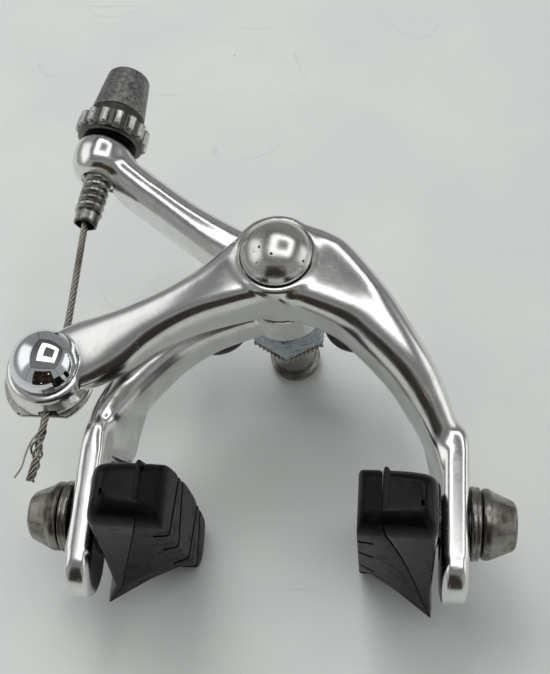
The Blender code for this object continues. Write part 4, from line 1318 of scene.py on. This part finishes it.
def room():
    """The room seen in the metal: a ceiling with a square ring of light, four walls and two windows."""
    world = bpy.data.worlds.new("room")
    bpy.context.scene.world = world
    world.use_nodes = True
    world.node_tree.nodes.clear()
    s = Nodes(world.node_tree)
    direction = s.node("ShaderNodeTexCoord").outputs["Generated"]
    ways = (s.vector("DOT_PRODUCT", direction, axis) for axis in (TABLE_UP, ROOM_RIGHT, ROOM_FAR))
    light = room_light(s, *ways)
    in_view = s.node("ShaderNodeLightPath").outputs["Is Camera Ray"]
    light = s.times(light, s.math("SUBTRACT", 1.0, in_view))
    light = s.sum(light, s.times(in_view, BACKDROP))
    background = s.node("ShaderNodeBackground", {"Color": DAYLIGHT, "Strength": light})
    s.put(s.node("ShaderNodeOutputWorld").inputs["Surface"], background.outputs[0])


def sheet(name, corners, material, facing):
    """A flat sheet that isn't part of the caliper."""
    bm = bmesh.new()
    face = bm.faces.new([bm.verts.new(corner) for corner in corners])
    face.normal_update()
    if Vector(face.normal).dot(Vector(facing)) < 0:
        face.normal_flip()
    obj = joined(name, [bm])
    obj.data.transform(Matrix.Scale(MM, 4))
    obj.data.materials.append(material)
    obj.location = from_seat(ORIGIN)
    return obj


def dark_opening():
    """The dark doorway in the near wall, with two warm lamps. Only the polished metal shows it."""
    distance, left, right, top, foot = 500.0, -230.0, 330.0, 520.0, -25.0
    origin = -ROOM_FAR * distance
    s = Shading("doorway")
    glow = s.mix(s.clouds(0.012, 0.45, 0.65), (0.012, 0.010, 0.009), (0.055, 0.036, 0.027))
    for across, height, size in ((215.0, 380.0, 34.0), (-20.0, 50.0, 20.0)):
        reach = s.vector("DISTANCE", s.point, origin + ROOM_RIGHT * across + TABLE_UP * height)
        glow = s.mix(s.ramp(reach, size * 0.6, size, 1.0, 0.0), glow, (1.6, 1.15, 0.7))
    settings = {"Base Color": (0.0, 0.0, 0.0), "Specular IOR Level": 0.0}
    settings.update({"Emission Color": glow, "Emission Strength": 1.0})
    for name, value in settings.items():
        s.put(s.shader.inputs[name], value)
    corners = ((left, foot), (right, foot), (right, top), (left, top))
    corners = [origin + ROOM_RIGHT * a + TABLE_UP * h for a, h in corners]
    opening = sheet("dark_opening", corners, s.material, -ROOM_FAR)
    for kind in ("camera", "diffuse", "shadow", "transmission", "volume_scatter"):
        setattr(opening, "visible_" + kind, False)


def table_material():
    """A pale painted top with faint hairlines, scuffs and specks. Seen from below it is clear."""
    s = Shading("table_top")
    marks = s.clouds(1.0, 0.70, 0.74, 2.0, 0.5, s.stretched((0.012, 0.5, 0.35), (0.0, 0.5, 0.0)))
    marks = s.times(marks, s.clouds(0.03, 0.5, 0.62, 2.0))
    shade = s.mix(s.clouds(0.02, 0.35, 0.65), (0.66, 0.68, 0.665), (0.70, 0.72, 0.70))
    for scale, width in ((0.011, 0.0016), (0.023, 0.0030)):
        contour = s.math("ABSOLUTE", s.math("SUBTRACT", s.noise(scale, 1.0, 0.4), 0.5))
        hairline = s.times(s.ramp(contour, width * 0.4, width, 1.0, 0.0), s.clouds(0.03, 0.56, 0.62, 2.0))
        shade = s.mix(s.times(hairline, 0.28), shade, (0.40, 0.41, 0.40))
    shade = s.mix(s.times(marks, 0.30), shade, (0.42, 0.43, 0.42))
    shade = s.mix(s.times(s.dots(0.045, 0.010, 0.018), 0.75), shade, (0.10, 0.10, 0.10))
    s.raised(s.noise(1.5, 3.0), 0.01)
    material = s.done(shade, 0.0, 0.45, Specular_IOR_Level=0.35)
    behind = s.node("ShaderNodeNewGeometry").outputs["Backfacing"]
    clear = s.node("ShaderNodeBsdfTransparent").outputs[0]
    mixed = s.node("ShaderNodeMixShader", {0: behind, 1: s.shader.outputs[0], 2: clear}).outputs[0]
    s.put(s.tree.nodes["Material Output"].inputs["Surface"], mixed)
    return material


def table():
    """The pale table under the caliper: it touches the nut's end and the pads' rear corners."""
    size = 1500.0
    nut_end = np.array((0.0, highest("mounting_nut")[1] + 0.2, -6.0))
    far = np.cross(X, TABLE_UP)
    corners = [nut_end + X * a * size + far * b * size for a, b in ((-1, -1), (1, -1), (1, 1), (-1, 1))]
    sheet("table_top", corners, table_material(), TABLE_UP)


def camera():
    """Looks at the caliper from in front, a little from the right and from below its pivot."""
    azimuth, elevation, roll = (math.radians(d) for d in (6.9, -22.8, 4.5))
    distance, lens = 196.0, 52.4
    target = np.array((0.1, -28.8, -14.6))
    level = math.cos(elevation)
    back = np.array((math.sin(azimuth) * level, -math.cos(azimuth) * level, math.sin(elevation)))
    right = np.array((math.cos(azimuth), math.sin(azimuth), 0.0))
    up = np.cross(back, right)
    axes = (right * math.cos(roll) + up * math.sin(roll), up * math.cos(roll) - right * math.sin(roll), back)
    data = bpy.data.cameras.new("camera")
    data.lens = lens
    data.sensor_width = 36.0
    data.clip_start = 0.01
    obj = bpy.data.objects.new("camera", data)
    bpy.context.scene.collection.objects.link(obj)
    matrix = Matrix(np.stack(axes, axis=1).tolist()).to_4x4()
    matrix.translation = from_seat(target + back * distance)
    obj.matrix_world = matrix
    bpy.context.scene.camera = obj


def soft_lamp():
    """A soft lamp above the far left of the table, which gives the shadows their direction."""
    data = bpy.data.lights.new("soft_lamp", "AREA")
    data.shape = "SQUARE"
    data.size = 0.5
    data.energy = 3.6
    lamp = bpy.data.objects.new("soft_lamp", data)
    bpy.context.scene.collection.objects.link(lamp)
    lamp.location = from_seat(TABLE_UP * 750 + np.array((-250, 0, 450)))
    lamp.rotation_euler = (from_seat(ORIGIN) - lamp.location).to_track_quat("-Z", "Y").to_euler()
    lamp.visible_glossy = False


front_arm()
rear_arm()
pivot_cap()
pivot_bolt()
spring_block()
toothed_washer()
recessed_nut()
pivot_washers()
anchor_pieces()
cable()
ribbed_wheel()
housing_stop()
threaded_barrel()
wheel_ring()
spring_wire(-1, 6.9)
spring_wire(1, 6.0)
for side, prefix in SIDES.items():
    pad_fastenings(side, prefix)
    pad(side, prefix)
room()
table()
dark_opening()
soft_lamp()
camera()
bpy.context.scene.view_settings.view_transform = "Standard"
